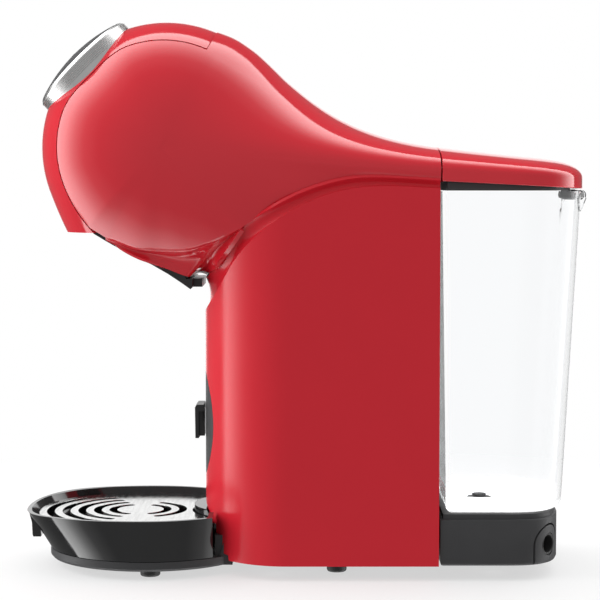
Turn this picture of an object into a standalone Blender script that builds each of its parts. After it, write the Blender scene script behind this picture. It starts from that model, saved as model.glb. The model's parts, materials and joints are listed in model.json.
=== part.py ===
"""Slim pod coffee machine, built as the real one comes apart on a bench.

Front faces -Y, the tank is at +Y, +Z is up and the machine stands on Z = 0.
Every length below is in millimetres; MM turns it into Blender's metres.
"""

import math

import bmesh
import bpy
from mathutils import Matrix, Vector

MM = 0.001
GAP = 0.3

# Head: an ellipsoid bulb that runs out into a tail
HEAD_Y = -69.0
HEAD_Z = 212.5
HEAD_RADIUS = 64.0
HEAD_HALF = 55.0
TAIL_HALF = 53.5
TAIL_END_Y = 66.7
SHELL_WALL = 2.2
SEAM_HALF = 31.0          # half width of the strip that lifts
LIP_HALF = 30.95          # the shell's edges beside that strip are cut straight here
PARTING_ANGLE = 23.7      # degrees from vertical, where the lifting strip ends at the rear
VISOR_BOTTOM_Z = 170.2
FLARE_ANGLE = 110.0
FLARE = 2.7

# Hinge of the lifting strip: ahead of the parting line, so that the strip's rear end dips inside the shell
HINGE_ANGLE = 16.7
HINGE_REACH = 50.0
PIN_RADIUS = 2.0

# Dial, on an axis that leans 45 degrees to the front; the head is a little flatter under it
DIAL_TILT = 45.0
DIAL_RADIUS = 29.3
FLAT_ANGLE = 27.0
FLAT = 2.7

# Column
COLUMN_HALF = 53.0
COLUMN_FRONT = -50.0
COLUMN_ROUND_Y = -8.0
COLUMN_REAR = 66.5
COLUMN_BOTTOM = 7.5
COLUMN_WALL = 2.5
INSERT_Z = 73.0           # middle of the round insert in the column's front
INSERT_HALF = 25.0
INSERT_RISE = 27.6

# Drip tray and the disc it stands on
DISC_Y = -78.0
DISC_RADIUS = 52.0
DISC_BOTTOM = 4.5
DISC_TOP = 9.2
HEEL_HALF = 47.5          # the disc's heel, which runs back under the column
HEEL_REAR = -37.6
HEEL_CUT_HALF = 28.0      # half width of the tray's cut under the column's foot
TRAY_BOTTOM = 9.5
TRAY_TOP = 30.0
TRAY_REAR = -44.8
TRAY_WALL = 2.2
TRAY_RIM_RADIUS = 55.0
RIM_REACH = 63.5          # from the disc's centre to the rim's front
RIM_POWER = 2.4           # the rim's front is a superellipse
DECK_Y = -26.0            # centre of the round deck at the tray's rear
SLOT_Y = -84.0            # centre of the grid's slots
SLOT_HALF = 2.0

# Tank and the base under it
BASE_TOP = 33.0
TANK_BOTTOM = 33.3
TANK_TOP = 191.0
TANK_WALL = 2.0
TANK_FOOT_PLAN = (51.0, 70.0, 98.0, 131.0)    # half width, front, start of the rear round, rear
TANK_RIM_PLAN = (52.0, 67.4, 104.0, 139.8)
TANK_POWER = 3.2
BASE_POWER = 3.4
VALVE_Y = 91.0
LID_HINGE_Y = 138.4
LID_HINGE_Z = 189.0
LUG_RADIUS = 2.6

# Tank lid
LID_FRONT = TAIL_END_Y + 0.7
LID_REAR = 141.5
LID_ROUND_Y = 100.0

# Cord outlet in the rounded rear corner; the turn is in degrees from +X towards +Y
CORD_PLACE = (43.2, 121.0, 17.0)
CORD_TURN = 52.0
CORD_BORE = 3.6

RED = (0.50, 0.022, 0.032)
BLACK = (0.012, 0.012, 0.013)
DARK = (0.045, 0.047, 0.05)
STEEL = (0.62, 0.62, 0.61)
CLEAR = (0.86, 0.88, 0.9)


# ---------------------------------------------------------------- helpers

def paint(name, colour, roughness=0.4, metallic=0.0):
    """The named material, made on its first use."""
    found = bpy.data.materials.get("mat_" + name)
    if found:
        return found
    made = bpy.data.materials.new("mat_" + name)
    made.use_nodes = True
    shader = made.node_tree.nodes["Principled BSDF"]
    shader.inputs["Base Color"].default_value = (*colour, 1.0)
    shader.inputs["Roughness"].default_value = roughness
    shader.inputs["Metallic"].default_value = metallic
    made.diffuse_color = (*colour, 1.0)
    return made


def add_mesh(name, points, faces, surface=None, centre=None):
    """An object from points in millimetres; with a centre, open faces are turned away from it."""
    mesh = bpy.data.meshes.new(name)
    mesh.from_pydata([[c * MM for c in p] for p in points], [], faces)
    work = bmesh.new()
    work.from_mesh(mesh)
    bmesh.ops.remove_doubles(work, verts=work.verts, dist=0.00001)
    bmesh.ops.recalc_face_normals(work, faces=work.faces)
    if centre is not None:
        middle = Vector(centre) * MM
        outward = sum(f.normal.dot(f.calc_center_median() - middle) for f in work.faces)
        if outward < 0:
            bmesh.ops.reverse_faces(work, faces=work.faces)
    work.to_mesh(mesh)
    work.free()
    mesh.shade_smooth()
    mesh.set_sharp_from_angle(angle=math.radians(35))
    obj = bpy.data.objects.new(name, mesh)
    bpy.context.scene.collection.objects.link(obj)
    if surface:
        mesh.materials.append(surface)
    return obj


def along(axis, u, v, w):
    """A point with w along the named axis and (u, v) on the other two, in X, Y, Z order."""
    return {"X": (w, u, v), "Y": (u, w, v), "Z": (u, v, w)}[axis]


def loft(name, rings, surface=None):
    """A closed solid through rings that all have the same number of points."""
    count = len(rings[0])
    points = [p for ring in rings for p in ring]
    faces = []
    for r in range(len(rings) - 1):
        for i in range(count):
            j = (i + 1) % count
            a = r * count
            b = a + count
            faces.append((a + i, a + j, b + j, b + i))
    faces.append(tuple(range(count)))
    faces.append(tuple(range((len(rings) - 1) * count, len(rings) * count)))
    return add_mesh(name, points, faces, surface)


def prism(name, axis, outline, low, high, surface=None):
    rings = [[along(axis, u, v, w) for u, v in outline] for w in (low, high)]
    return loft(name, rings, surface)


def box(name, low, high, surface=None):
    outline = [(low[0], low[1]), (high[0], low[1]), (high[0], high[1]), (low[0], high[1])]
    return prism(name, "Z", outline, low[2], high[2], surface)


def turned(name, profile, surface=None, at=(0, 0, 0), lean=0.0, axis="Z", segments=32):
    """A solid turned about an axis; profile is (radius, height), closed onto itself if it has a bore."""
    solid = profile[0][0] == 0
    if axis == "X":
        turn = Matrix.Rotation(math.radians(90), 3, "Y")
    elif axis == "Y":
        turn = Matrix.Rotation(math.radians(-90), 3, "X")
    else:
        turn = Matrix.Rotation(math.radians(lean), 3, "X")
    origin = Vector(at)
    points = []
    for radius, height in profile:
        for k in range(segments):
            a = math.tau * k / segments
            local = Vector((radius * math.cos(a), radius * math.sin(a), height))
            points.append(turn @ local + origin)
    faces = []
    steps = len(profile) - 1 if solid else len(profile)
    for r in range(steps):
        a = r * segments
        b = ((r + 1) % len(profile)) * segments
        for k in range(segments):
            j = (k + 1) % segments
            faces.append((a + k, a + j, b + j, b + k))
    return add_mesh(name, points, faces, surface)


def rod(name, radius, low, high, surface=None, at=(0, 0, 0), axis="Z", segments=20, lean=0.0):
    profile = [(0, low), (radius, low), (radius, high), (0, high)]
    return turned(name, profile, surface, at, lean, axis, segments)


def ring(name, inner, outer, low, high, surface=None, at=(0, 0, 0), axis="Z", segments=28, lean=0.0):
    profile = [(inner, low), (outer, low), (outer, high), (inner, high)]
    return turned(name, profile, surface, at, lean, axis, segments)


def boolean(obj, other, operation):
    step = obj.modifiers.new(other.name, "BOOLEAN")
    step.operation = operation
    step.solver = "EXACT"
    step.object = other
    other.hide_render = True
    other.display_type = "WIRE"
    return obj


def cut(obj, *cutters):
    for cutter in cutters:
        boolean(obj, cutter, "DIFFERENCE")
    return obj


def join(obj, *others):
    for other in others:
        boolean(obj, other, "UNION")
    return obj


def thicken(obj, wall):
    """Gives an open surface a wall on the side away from its normals."""
    step = obj.modifiers.new("wall", "SOLIDIFY")
    step.thickness = wall * MM
    step.offset = -1.0
    step.use_even_offset = False
    return obj


def hang(name, pivot, objects):
    """Parents the pieces of a moving body to an empty on its joint's axis."""
    empty = bpy.data.objects.new(name, None)
    empty.location = Vector(pivot) * MM
    bpy.context.scene.collection.objects.link(empty)
    shift = Matrix.Translation(-empty.location)
    for obj in objects:
        obj.data.transform(shift)
        obj.parent = empty
    return empty


def arc(cx, cy, radius, start, end, count):
    """Points on an arc, angles in degrees, counter-clockwise from the first axis."""
    made = []
    for k in range(count + 1):
        a = math.radians(start + (end - start) * k / count)
        made.append((cx + radius * math.cos(a), cy + radius * math.sin(a)))
    return made


def bezier(a, b, c, d, s):
    weights = ((1 - s) ** 3, 3 * s * (1 - s) ** 2, 3 * s * s * (1 - s), s ** 3)
    return tuple(sum(w * p[i] for w, p in zip(weights, (a, b, c, d))) for i in range(len(a)))


def smooth_line(points, x):
    """Height of a smooth curve through points sorted by their first coordinate."""
    if x <= points[0][0]:
        return points[0][1]
    if x >= points[-1][0]:
        return points[-1][1]
    i = max(k for k in range(len(points) - 1) if points[k][0] <= x)

    def slope(k):
        lo = max(k - 1, 0)
        hi = min(k + 1, len(points) - 1)
        return (points[hi][1] - points[lo][1]) / (points[hi][0] - points[lo][0])

    (x0, y0), (x1, y1) = points[i], points[i + 1]
    s = (x - x0) / (x1 - x0)
    rise = (1 + 2 * s) * (1 - s) ** 2 * y0 + s * s * (3 - 2 * s) * y1
    lean = s * (1 - s) ** 2 * slope(i) - s * s * (1 - s) * slope(i + 1)
    return rise + (x1 - x0) * lean


# ---------------------------------------------------------------- head surface

SHOULDER = ((-36.0, 267.6), (-3.0, 248.0), (6.0, 221.0), (TAIL_END_Y, 213.3))
MEDIAL = ((HEAD_Y, HEAD_Z), (-42.0, 208.0), (0.0, 205.0), (TAIL_END_Y, 201.0))
ARCH_TOP = ((-30.0, 173.2), (-7.8, 187.2), (12.6, 195.0), (31.0, 197.9), (TAIL_END_Y, 196.3))
CREASE = ((-98.0, 168.0, 31.0), (-83.0, 162.2, 33.0), (-70.0, 161.2, 35.0), (-57.0, 161.8, 38.5),
          (-43.0, 166.6, 44.0), (-30.0, 173.2, 48.0))
ARCH_HALF = 51.5          # half width of the tail's lower edge
RIM = ((-98.0, 166.6, 29.8), (-85.0, 159.7, 29.8), (-73.5, 154.8, 29.5), (-62.0, 150.0, 28.8),
       (-57.5, 148.4, 27.5), (-56.6, 148.2, 24.0), (-56.3, 148.1, 19.0), (-56.1, 148.1, 13.0),
       (-56.0, 148.1, 6.0), (-56.0, 148.1, 0.0))
NECK_EDGE = ((-36.0, 164.5, 44.0), (-41.5, 157.0, 37.0), (-46.0, 150.5, 25.0), (-48.5, 147.5, 0.0))
TAIL_STEPS = 8


def head_reach(angle):
    """Radius of the head's outline; it flares a little to the front tip and is flatter under the dial."""
    beyond = max(abs(angle) - FLARE_ANGLE, 0.0) / 19.6
    aside = min(abs(angle + DIAL_TILT) / FLAT_ANGLE, 1.0)
    return HEAD_RADIUS + FLARE * beyond ** 2 - FLAT * math.cos(math.pi / 2 * aside) ** 2


def bulb_point(angle, reach):
    """A point at a reach from the head's centre; the angle is in degrees from vertical, rear positive."""
    a = math.radians(angle)
    return HEAD_Y + reach * math.sin(a), HEAD_Z + reach * math.cos(a)


def crown_width(phi, full, power):
    """Superellipse section: share of the way to the crown, and half width, for a section angle."""
    share = math.sin(phi) ** (2 / power)
    return share, full * math.cos(phi) ** (2 / power)


def spoke(root, tip, full, power, phis):
    made = []
    for phi in phis:
        share, half = crown_width(phi, full, power)
        y = root[0] + (tip[0] - root[0]) * share
        z = root[1] + (tip[1] - root[1]) * share
        made.append((half, y, z))
    return made


def seam_phi(half):
    return math.acos(half / HEAD_HALF)


def section_angles(seam, inner=5, outer=5):
    """Section angles from the side to the seam, then from the seam to the crown."""
    side = [seam * k / inner for k in range(inner + 1)]
    top = [seam + (math.pi / 2 - seam) * k / outer for k in range(1, outer + 1)]
    top[-1] = math.pi / 2 - 1e-9
    return side, side[-1:] + top


def mirrored(grid):
    return [[(-x, y, z) for x, y, z in row] for row in grid]


def sheet(grid):
    """Points and quads of a grid of rows."""
    width = len(grid[0])
    points = [p for row in grid for p in row]
    faces = []
    for r in range(len(grid) - 1):
        for i in range(width - 1):
            a = r * width + i
            faces.append((a, a + 1, a + width + 1, a + width))
    return points, faces


def sheets(name, grids, surface, centre):
    points = []
    faces = []
    for grid in grids:
        more, quads = sheet(grid)
        faces += [tuple(i + len(points) for i in quad) for quad in quads]
        points += more
    return add_mesh(name, points, faces, surface, centre)


def bulb_angles(start, end, count):
    return [start + (end - start) * k / count for k in range(count + 1)]


def tail_pairs():
    """Crown point, root, lower point, both half widths and section power for each rib of the tail."""
    made = []
    for k in range(TAIL_STEPS + 1):
        s = k / TAIL_STEPS
        crown = bezier(*SHOULDER, s)
        root = bezier(*MEDIAL, s)
        y = ARCH_TOP[0][0] + (TAIL_END_Y - ARCH_TOP[0][0]) * s
        low = (y, smooth_line(ARCH_TOP, y))
        full = HEAD_HALF + (TAIL_HALF - HEAD_HALF) * s
        half = CREASE[-1][2] + (ARCH_HALF - CREASE[-1][2]) * min(s / 0.3, 1.0)
        power = 2.0 + 0.4 * s
        made.append((crown, root, low, full, half, power))
    return made


def lower_spoke(root, low, full, half, phis):
    made = []
    for phi in phis:
        q = math.sin(phi) / math.sin(phis[-1])
        y = root[0] + (low[0] - root[0]) * q
        z = root[1] + (low[1] - root[1]) * q
        made.append((full - (full - half) * q ** 2.2, y, z))
    return made


def head_grids():
    """One side of the head shell: cheek, rear crown, lower cheek, and the scoop under it."""
    centre = (HEAD_Y, HEAD_Z)
    side, top = section_angles(seam_phi(SEAM_HALF + 0.25))
    front = bulb_angles(-137.3, PARTING_ANGLE, 20)
    back = bulb_angles(PARTING_ANGLE, 31.0, 1)
    cheek = [spoke(centre, bulb_point(a, head_reach(a)), HEAD_HALF, 2.0, side) for a in front + back[1:]]
    crown = [spoke(centre, bulb_point(a, head_reach(a)), HEAD_HALF, 2.0, top) for a in back]
    pairs = tail_pairs()
    for tip, root, _, full, _, power in pairs[1:]:
        cheek.append(spoke(root, tip, full, power, side))
        crown.append(spoke(root, tip, full, power, top))
    lower = [lower_spoke(root, low, full, half, side) for _, root, low, full, half, _ in reversed(pairs)]
    lower += [lower_spoke(centre, point[:2], HEAD_HALF, point[2], side) for point in reversed(CREASE[:-1])]
    lower.append(cheek[0])
    return [cheek, crown, lower, scoop_grid()]


def scoop_grid():
    """The hollowed underside, from the cheek's lower crease to the rim over the outlet."""
    upper = [(x, y, z) for y, z, x in CREASE + NECK_EDGE]
    lower = [(x, y, z) for y, z, x in RIM]
    rows = 3
    grid = []
    for a, b in zip(upper, lower):
        grid.append([tuple(p + (q - p) * k / rows for p, q in zip(a, b)) for k in range(rows + 1)])
    return grid


def hinge_point():
    return bulb_point(HINGE_ANGLE, HINGE_REACH)


def parting_reach(x):
    """Distance from the hinge's axis to the parting line, at a distance from the middle."""
    crown = HEAD_RADIUS * math.sqrt(1 - (x / HEAD_HALF) ** 2)
    return math.dist(bulb_point(PARTING_ANGLE, crown), hinge_point())


def make_head_shell():
    side = head_grids()
    grids = side + [mirrored(grid) for grid in side]
    shell = sheets("head_shell", grids, paint("head_shell", RED, 0.28), (0, -30, 205))
    thicken(shell, SHELL_WALL)
    widths = [(SEAM_HALF + 0.2) * (k - 6) / 6 for k in range(13)]
    profile = [(0, widths[0])] + [(parting_reach(x) + 0.4, x) for x in widths] + [(0, widths[-1])]
    clearance = turned("hinge_clearance", profile, None, (0, *hinge_point()), 0, "X", 40)
    sector = [bulb_point(a, 74.0) for a in bulb_angles(-139, 14, 9)]
    sector += [bulb_point(a, 44.0) for a in bulb_angles(14, -139, 9)]
    return cut(shell, clearance, prism("seam_lips", "X", sector, -LIP_HALF, LIP_HALF))


def crown_strip(name, start, end, count, edge_half, drop, wall, surface):
    """A strip of the crown, set in by a drop, with its wall; both edges at the given half width."""
    _, top = section_angles(seam_phi(edge_half), 5, 6)
    rows = []
    for angle in bulb_angles(start, end, count):
        reach = head_reach(angle)
        half = spoke((HEAD_Y, HEAD_Z), bulb_point(angle, reach), HEAD_HALF, 2.0, top)
        centre = Vector((0, HEAD_Y, HEAD_Z))
        row = []
        for point in half:
            out = Vector(point) - centre
            shorter = out * (1 - drop / out.length)
            row.append(tuple(centre + shorter))
        rows.append(row)
    strip = sheets(name, [rows, mirrored(rows)], surface, (0, HEAD_Y, HEAD_Z))
    return thicken(strip, wall)


def dial_cutter(name, radius):
    return rod(name, radius, 40, 80, None, (0, HEAD_Y, HEAD_Z), "Z", 48, DIAL_TILT)


def make_visor():
    visor = crown_strip("visor", -141, PARTING_ANGLE, 20, SEAM_HALF - 0.25, 0, 2.4,
                        paint("visor", RED, 0.28))
    trim = box("visor_trim", (-40, -160, 140), (40, -90, VISOR_BOTTOM_Z))
    return cut(visor, trim, dial_cutter("visor_dial_hole", DIAL_RADIUS + 0.5))


def make_visor_frame():
    frame = crown_strip("visor_frame", -20, 14, 5, 28.0, 2.8, 1.8, paint("visor_frame", BLACK, 0.5))
    cut(frame, dial_cutter("frame_dial_hole", DIAL_RADIUS + 1.9))
    y, z = hinge_point()
    for tag, x in (("left", -21), ("right", 18)):
        outline = [bulb_point(-8, 56.0), bulb_point(6, 56.0), bulb_point(10, 55.6)]
        outline += arc(y, z, 4.5, 50, -150, 8)
        arm = prism("hinge_arm_" + tag, "X", outline, x, x + 3)
        join(frame, arm)
    hole = rod("arm_bore", PIN_RADIUS + 0.3, -25, 25, None, (0, y, z), "X", 16)
    return cut(frame, hole)


def make_visor_liner():
    """Lines the strip below the dial, where the hand lifts it."""
    liner = crown_strip("visor_liner", -104, -72, 5, 28.0, 2.8, 1.8, paint("visor_liner", BLACK, 0.5))
    return cut(liner, dial_cutter("liner_dial_hole", DIAL_RADIUS + 1.9))


def make_hinge_pins():
    y, z = hinge_point()
    steel = paint("hinge_pins", STEEL, 0.3, 1.0)
    return [rod("visor_hinge_pin_" + tag, PIN_RADIUS, low, low + 8.5, steel, (0, y, z), "X", 16)
            for tag, low in (("left", -22.0), ("right", 13.5))]


# ---------------------------------------------------------------- dial

def on_dial(name, profile, surface, segments=48):
    return turned(name, profile, surface, (0, HEAD_Y, HEAD_Z), DIAL_TILT, "Z", segments)


def make_dial():
    base_profile = [(0, 44.9), (30.3, 44.9), (30.3, 47.6), (20.2, 47.6), (20.2, 60.2), (0, 60.2)]
    base = on_dial("dial_base", base_profile, paint("dial_base", BLACK, 0.5))
    ring_profile = [(20.6, 48.1), (DIAL_RADIUS, 48.1), (DIAL_RADIUS, 59.6), (29.7, 60.2), (28.0, 61.9),
                    (27.7, 61.7), (27.6, 60.5), (20.6, 60.5)]
    dial_ring = on_dial("dial_ring", ring_profile, paint("dial_ring", (0.7, 0.7, 0.69), 0.3, 1.0))
    dome_radius = 81.0
    edge = 27.2
    rise = dome_radius - math.sqrt(dome_radius ** 2 - edge ** 2)
    dome_profile = [(0, 61.6), (edge, 61.6)]
    for k in range(6, -1, -1):
        r = edge * k / 6
        drop = dome_radius - math.sqrt(dome_radius ** 2 - r ** 2)
        dome_profile.append((r, 62.2 + rise - drop))
    dome = on_dial("start_button", dome_profile, paint("start_button", BLACK, 0.08))
    board = on_dial("display_board", [(0, 42.6), (18, 42.6), (18, 44.2), (0, 44.2)],
                    paint("display_board", (0.02, 0.12, 0.05), 0.5), 24)
    return base, dial_ring, dome, board


# ---------------------------------------------------------------- brewing parts

def make_outlet_chassis():
    surface = paint("outlet_chassis", BLACK, 0.35)
    outer = [(-104.5, 171.0), (-104.5, 169.8), (-98.0, 165.9), (-85.5, 158.8), (-75.6, 154.4),
             (-67.3, 149.6), (-60.7, 145.2), (-56.2, 142.0), (-55.2, 143.0), (-55.2, 147.3),
             (-58.6, 147.3), (-58.6, 171.0)]
    inner = [(-99.5, 180.0), (-99.5, 169.6), (-84.8, 161.6), (-75.0, 157.1), (-66.0, 152.2),
             (-61.2, 148.9), (-61.2, 180.0)]
    body = prism("outlet_chassis", "X", outer, -26.5, 26.5, surface)
    join(body, box("chassis_rear_block", (-18, -56.0, 142.8), (18, -50.7, 147.0)))
    pocket = prism("chassis_pocket", "X", inner, -24.2, 24.2)
    outlet = rod("outlet_hole", 14, 140, 180, None, (0, -79, 0), "Z", 28)
    return cut(body, pocket, outlet)


def make_brew_frame():
    surface = paint("brew_frame", (0.16, 0.16, 0.17), 0.55)
    frame = box("brew_frame", (-36, -93, 211), (36, -42, 214), surface)
    for tag, side in (("left", -1), ("right", 1)):
        x0, x1 = sorted((side * 33, side * 36))
        join(frame, box("frame_side_" + tag, (x0, -93, 181), (x1, -42, 212)))
        x0, x1 = sorted((side * 29.6, side * 34))
        join(frame, box("frame_ledge_" + tag, (x0, -93, 184.6), (x1, -42, 187.4)))
        x0, x1 = sorted((side * 14, side * 17))
        y, z = hinge_point()
        post = [(-62, 213), (-44, 213)] + arc(y, z, 4.4, -20, 200, 8)
        join(frame, prism("hinge_post_" + tag, "X", post, x0, x1))
    cut(frame, rod("injector_bore", 10.5, 205, 220, None, (0, -80, 0), "Z", 24))
    return cut(frame, rod("post_bore", PIN_RADIUS + 0.3, -25, 25, None, (0, y, z), "X", 16))


def make_capsule_holder():
    surface = paint("capsule_holder", BLACK, 0.35)
    front = arc(0, -86, 30.5, 180, 360, 16)
    flange = [(-30.5, -50)] + front + [(30.5, -50)]
    holder = prism("capsule_holder", "Z", flange, 187.8, 190.6, surface)
    cup = rod("holder_cup", 27.5, 172.2, 188.5, None, (0, -80, 0), "Z", 32)
    grip = box("holder_grip", (-11, -119.5, 186.0), (11, -108, 196.0))
    join(holder, cup, grip)
    seat = turned("capsule_seat", [(0, 160), (7, 160), (7, 174.6), (24.2, 174.6), (25.2, 196), (0, 196)],
                  None, (0, -80, 0), 0, "Z", 32)
    return cut(holder, seat)


def make_injector():
    plate_profile = [(2.0, 197.5), (22.0, 197.5), (22.0, 200.5), (9.8, 200.5), (9.8, 213.5), (2.0, 213.5)]
    plate = turned("injector_plate", plate_profile, paint("injector_plate", (0.2, 0.2, 0.21), 0.5),
                   (0, -80, 0), 0, "Z", 28)
    needle = turned("injection_needle", [(0, 189.0), (1.0, 191.0), (1.6, 193.0), (1.6, 215.4), (0, 215.4)],
                    paint("injection_needle", STEEL, 0.25, 1.0), (0, -80, 0), 0, "Z", 16)
    seal = ring("injector_seal", 16.0, 20.0, 195.4, 197.2, paint("injector_seal", (0.5, 0.18, 0.08), 0.7),
                (0, -80, 0))
    return plate, needle, seal


def make_heater_and_pump():
    alloy = paint("thermoblock", (0.5, 0.5, 0.5), 0.45, 0.9)
    outline = arc(20, 10, 14, -90, 90, 8) + arc(-20, 10, 14, 90, 270, 8)
    block = prism("thermoblock", "Z", outline, 163.0, 186.0, alloy)
    ribs = [box("block_rib_%d" % k, (-30, -2 + 8 * k, 185.0), (30, 0 + 8 * k, 189.0)) for k in range(4)]
    join(block, *ribs)
    pump_profile = [(0, 62), (7, 62), (7, 70), (17, 70), (17, 74), (19, 74), (19, 112), (17, 112),
                    (17, 118), (8, 118), (8, 132), (0, 132)]
    pump = turned("pump", pump_profile, paint("pump", (0.3, 0.3, 0.32), 0.4, 0.6), (0, 18, 0))
    rubber = paint("pump_mounts", BLACK, 0.8)
    mounts = [ring("pump_mount_" + tag, bore, 15, low, low + 5, rubber, (0, 18, 0))
              for tag, bore, low in (("lower", 7.4, 63), ("upper", 8.4, 119.5))]
    meter = turned("flow_meter", [(0, 42), (13, 42), (13, 54), (4, 54), (4, 60), (0, 60)],
                   paint("flow_meter", (0.75, 0.75, 0.72), 0.5), (-22, 30, 0), 0, "Z", 24)
    return [block, pump, meter] + mounts


def make_control_board():
    surface = paint("control_board", (0.02, 0.16, 0.06), 0.5)
    board = prism("control_board", "X", [(-20, 62), (40, 62), (40, 140), (-20, 140)], 42.0, 43.6, surface)
    parts = [((36.0, -10, 110), (42.5, 8, 128)), ((34.0, 16, 96), (42.5, 34, 120)),
             ((38.0, -12, 72), (42.5, 6, 92)), ((37.0, 16, 70), (42.5, 30, 84))]
    blocks = [box("board_part_%d" % k, *corners) for k, corners in enumerate(parts)]
    return join(board, *blocks)


def hose(name, route, radius=3.0, sides=8, per_leg=8):
    """A hose on a smooth curve: cubic legs through the route's points and tangents."""
    centres = []
    for leg in route:
        centres += [Vector(bezier(*leg, k / per_leg)) for k in range(per_leg)]
    centres.append(Vector(route[-1][3]))
    rings = []
    side = Vector((1, 0, 0))
    for i, centre in enumerate(centres):
        ahead = centres[min(i + 1, len(centres) - 1)] - centres[max(i - 1, 0)]
        ahead.normalize()
        side = (side - ahead * side.dot(ahead)).normalized()
        up = ahead.cross(side)
        rings.append([tuple(centre + radius * (side * math.cos(a) + up * math.sin(a)))
                      for a in (math.tau * k / sides for k in range(sides))])
    return loft(name, rings, paint("hoses", (0.8, 0.8, 0.78), 0.6))


def make_hoses():
    inlet = [((0, 75.4, 16.0), (0, 60, 14), (-22, 60, 14), (-22, 44, 22)),
             ((-22, 44, 22), (-22, 34, 27), (-22, 30, 32), (-22, 30, 41.5))]
    feed = [((-22, 30, 61.2), (-22, 30, 72), (-30, 10, 56), (-14, 10, 50)),
            ((-14, 10, 50), (-4, 10, 47), (0, 18, 48), (0, 18, 61.5))]
    rise = [((0, 18, 133.0), (0, 18, 150), (24, -22, 140), (24, -26, 160)),
            ((24, -26, 160), (24, -27, 168), (12, -25, 172), (8, -4.8, 174))]
    hot = [((0, -4.6, 180), (0, -20, 182), (0, -28, 190), (0, -34, 205)),
           ((0, -34, 205), (0, -42, 228), (0, -66, 232), (0, -80, 224))]
    return [hose("hose_inlet", inlet), hose("hose_pump", feed, 2.6), hose("hose_heater", rise, 2.4),
            hose("hose_injector", hot, 2.4)]


# ---------------------------------------------------------------- column and neck

COLUMN_TOP_LINE = ((-50.0, 130.0), (-42.4, 142.5), (-32.0, 159.5), (-17.0, 174.1), (1.4, 185.3),
                   (19.8, 191.6), (38.7, 193.5), (66.5, 192.4))
NECK_TOP_LINE = ((-48.5, 146.9), (-46.0, 149.9), (-41.5, 156.4), (-36.0, 163.8), (-30.0, 172.4),
                 (-7.8, 186.6), (12.6, 194.4), (31.0, 197.3), (66.5, 195.8))
COLUMN_FOOT_LINE = ((-50.0, 33.0), (-45.4, 24.6), (-43.6, 24.0), (-43.2, 10.6), (-37.4, 10.2),
                    (-36.9, COLUMN_BOTTOM), (COLUMN_REAR, COLUMN_BOTTOM))


def straight_line(points, x):
    if x <= points[0][0]:
        return points[0][1]
    for (x0, y0), (x1, y1) in zip(points, points[1:]):
        if x <= x1:
            return y0 + (y1 - y0) * (x - x0) / (x1 - x0)
    return points[-1][1]


def column_outline(inset, stations):
    """Right half of the column's plan from its front to its rear, as (x, y)."""
    half = COLUMN_HALF - inset
    deep = COLUMN_ROUND_Y - COLUMN_FRONT - inset
    made = []
    for y in stations:
        if y < COLUMN_ROUND_Y:
            share = min((COLUMN_ROUND_Y - y) / (COLUMN_ROUND_Y - COLUMN_FRONT), 1.0)
            made.append((half * math.sqrt(max(1 - share ** 2, 0)), COLUMN_ROUND_Y - deep * share))
        else:
            made.append((half, y))
    return made


def stations_along(low, high):
    """Plan stations: dense over the rounded front, then the break points of the lower edge."""
    fixed = [-45.4, -43.6, -43.2, -37.4, -36.9]
    front = [COLUMN_ROUND_Y + (COLUMN_FRONT - COLUMN_ROUND_Y) * math.cos(math.radians(a))
             for a in (0, 10, 20, 29, 54, 64, 74, 84)]
    rear = [0, 12, 24, 38, 52, COLUMN_REAR]
    return [y for y in sorted(front + fixed + rear) if low <= y <= high]


def wall_band(name, surface, inset, wall, low_line, high_line, stations):
    """A wall that follows the column's plan, between a lower and an upper line of heights."""
    rings = []
    for side in (1, -1):
        outer = column_outline(inset, stations)
        inner = column_outline(inset + wall, stations)
        order = range(len(stations)) if side > 0 else range(1, len(stations))
        part = []
        for i in order:
            y = stations[i]
            low = low_line(y)
            high = high_line(y)
            (xo, yo), (xi, yi) = outer[i], inner[i]
            part.append([(side * xo, yo, low), (side * xo, yo, high), (side * xi, yi, high),
                         (side * xi, yi, low)])
        rings = rings + part if side > 0 else part[::-1] + rings
    return loft(name, rings, surface)


def insert_outline(inset):
    """Round opening in the column's front, as (x, z)."""
    made = []
    for k in range(40):
        a = math.tau * k / 40
        made.append(((INSERT_HALF - inset) * math.cos(a), INSERT_Z + (INSERT_RISE - inset) * math.sin(a)))
    return made


def make_column():
    stations = stations_along(COLUMN_FRONT, COLUMN_REAR)
    shell = wall_band("column_shell", paint("column_shell", RED, 0.42), 0, COLUMN_WALL,
                      lambda y: straight_line(COLUMN_FOOT_LINE, y),
                      lambda y: smooth_line(COLUMN_TOP_LINE, y), stations)
    cut(shell, prism("insert_opening", "Y", insert_outline(0), -60, -20))
    neck = wall_band("neck_band", paint("neck_band", RED, 0.42), 2.0, 2.2,
                     lambda y: smooth_line(COLUMN_TOP_LINE, y) + GAP,
                     lambda y: smooth_line(NECK_TOP_LINE, y) - GAP, stations)
    insert = wall_band("column_insert", paint("column_insert", DARK, 0.45), 0, COLUMN_WALL,
                       lambda y: 40.0, lambda y: 106.0, stations_along(COLUMN_FRONT, -20))
    disc = prism("insert_disc", "Y", insert_outline(0.35), -60, -20)
    boolean(insert, disc, "INTERSECT")
    return shell, neck, insert


def make_tray_hook():
    """Hook on the insert: a raised rail with a slot behind its front plate."""
    outline = [(-50.4, 65.5), (-53.0, 65.5), (-53.0, 64.8), (-55.0, 64.8), (-55.2, 80.6), (-54.2, 82.0),
               (-50.8, 82.0), (-50.4, 81.2)]
    hook = prism("tray_hook", "X", outline, -9, 9, paint("tray_hook", BLACK, 0.4))
    slots = [box("hook_slot_" + tag, (x, -53.2, 60), (x + 4.4, -50.0, 78.6)) for tag, x in
             (("left", -9.4), ("right", 5.0))]
    return cut(hook, *slots)


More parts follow.
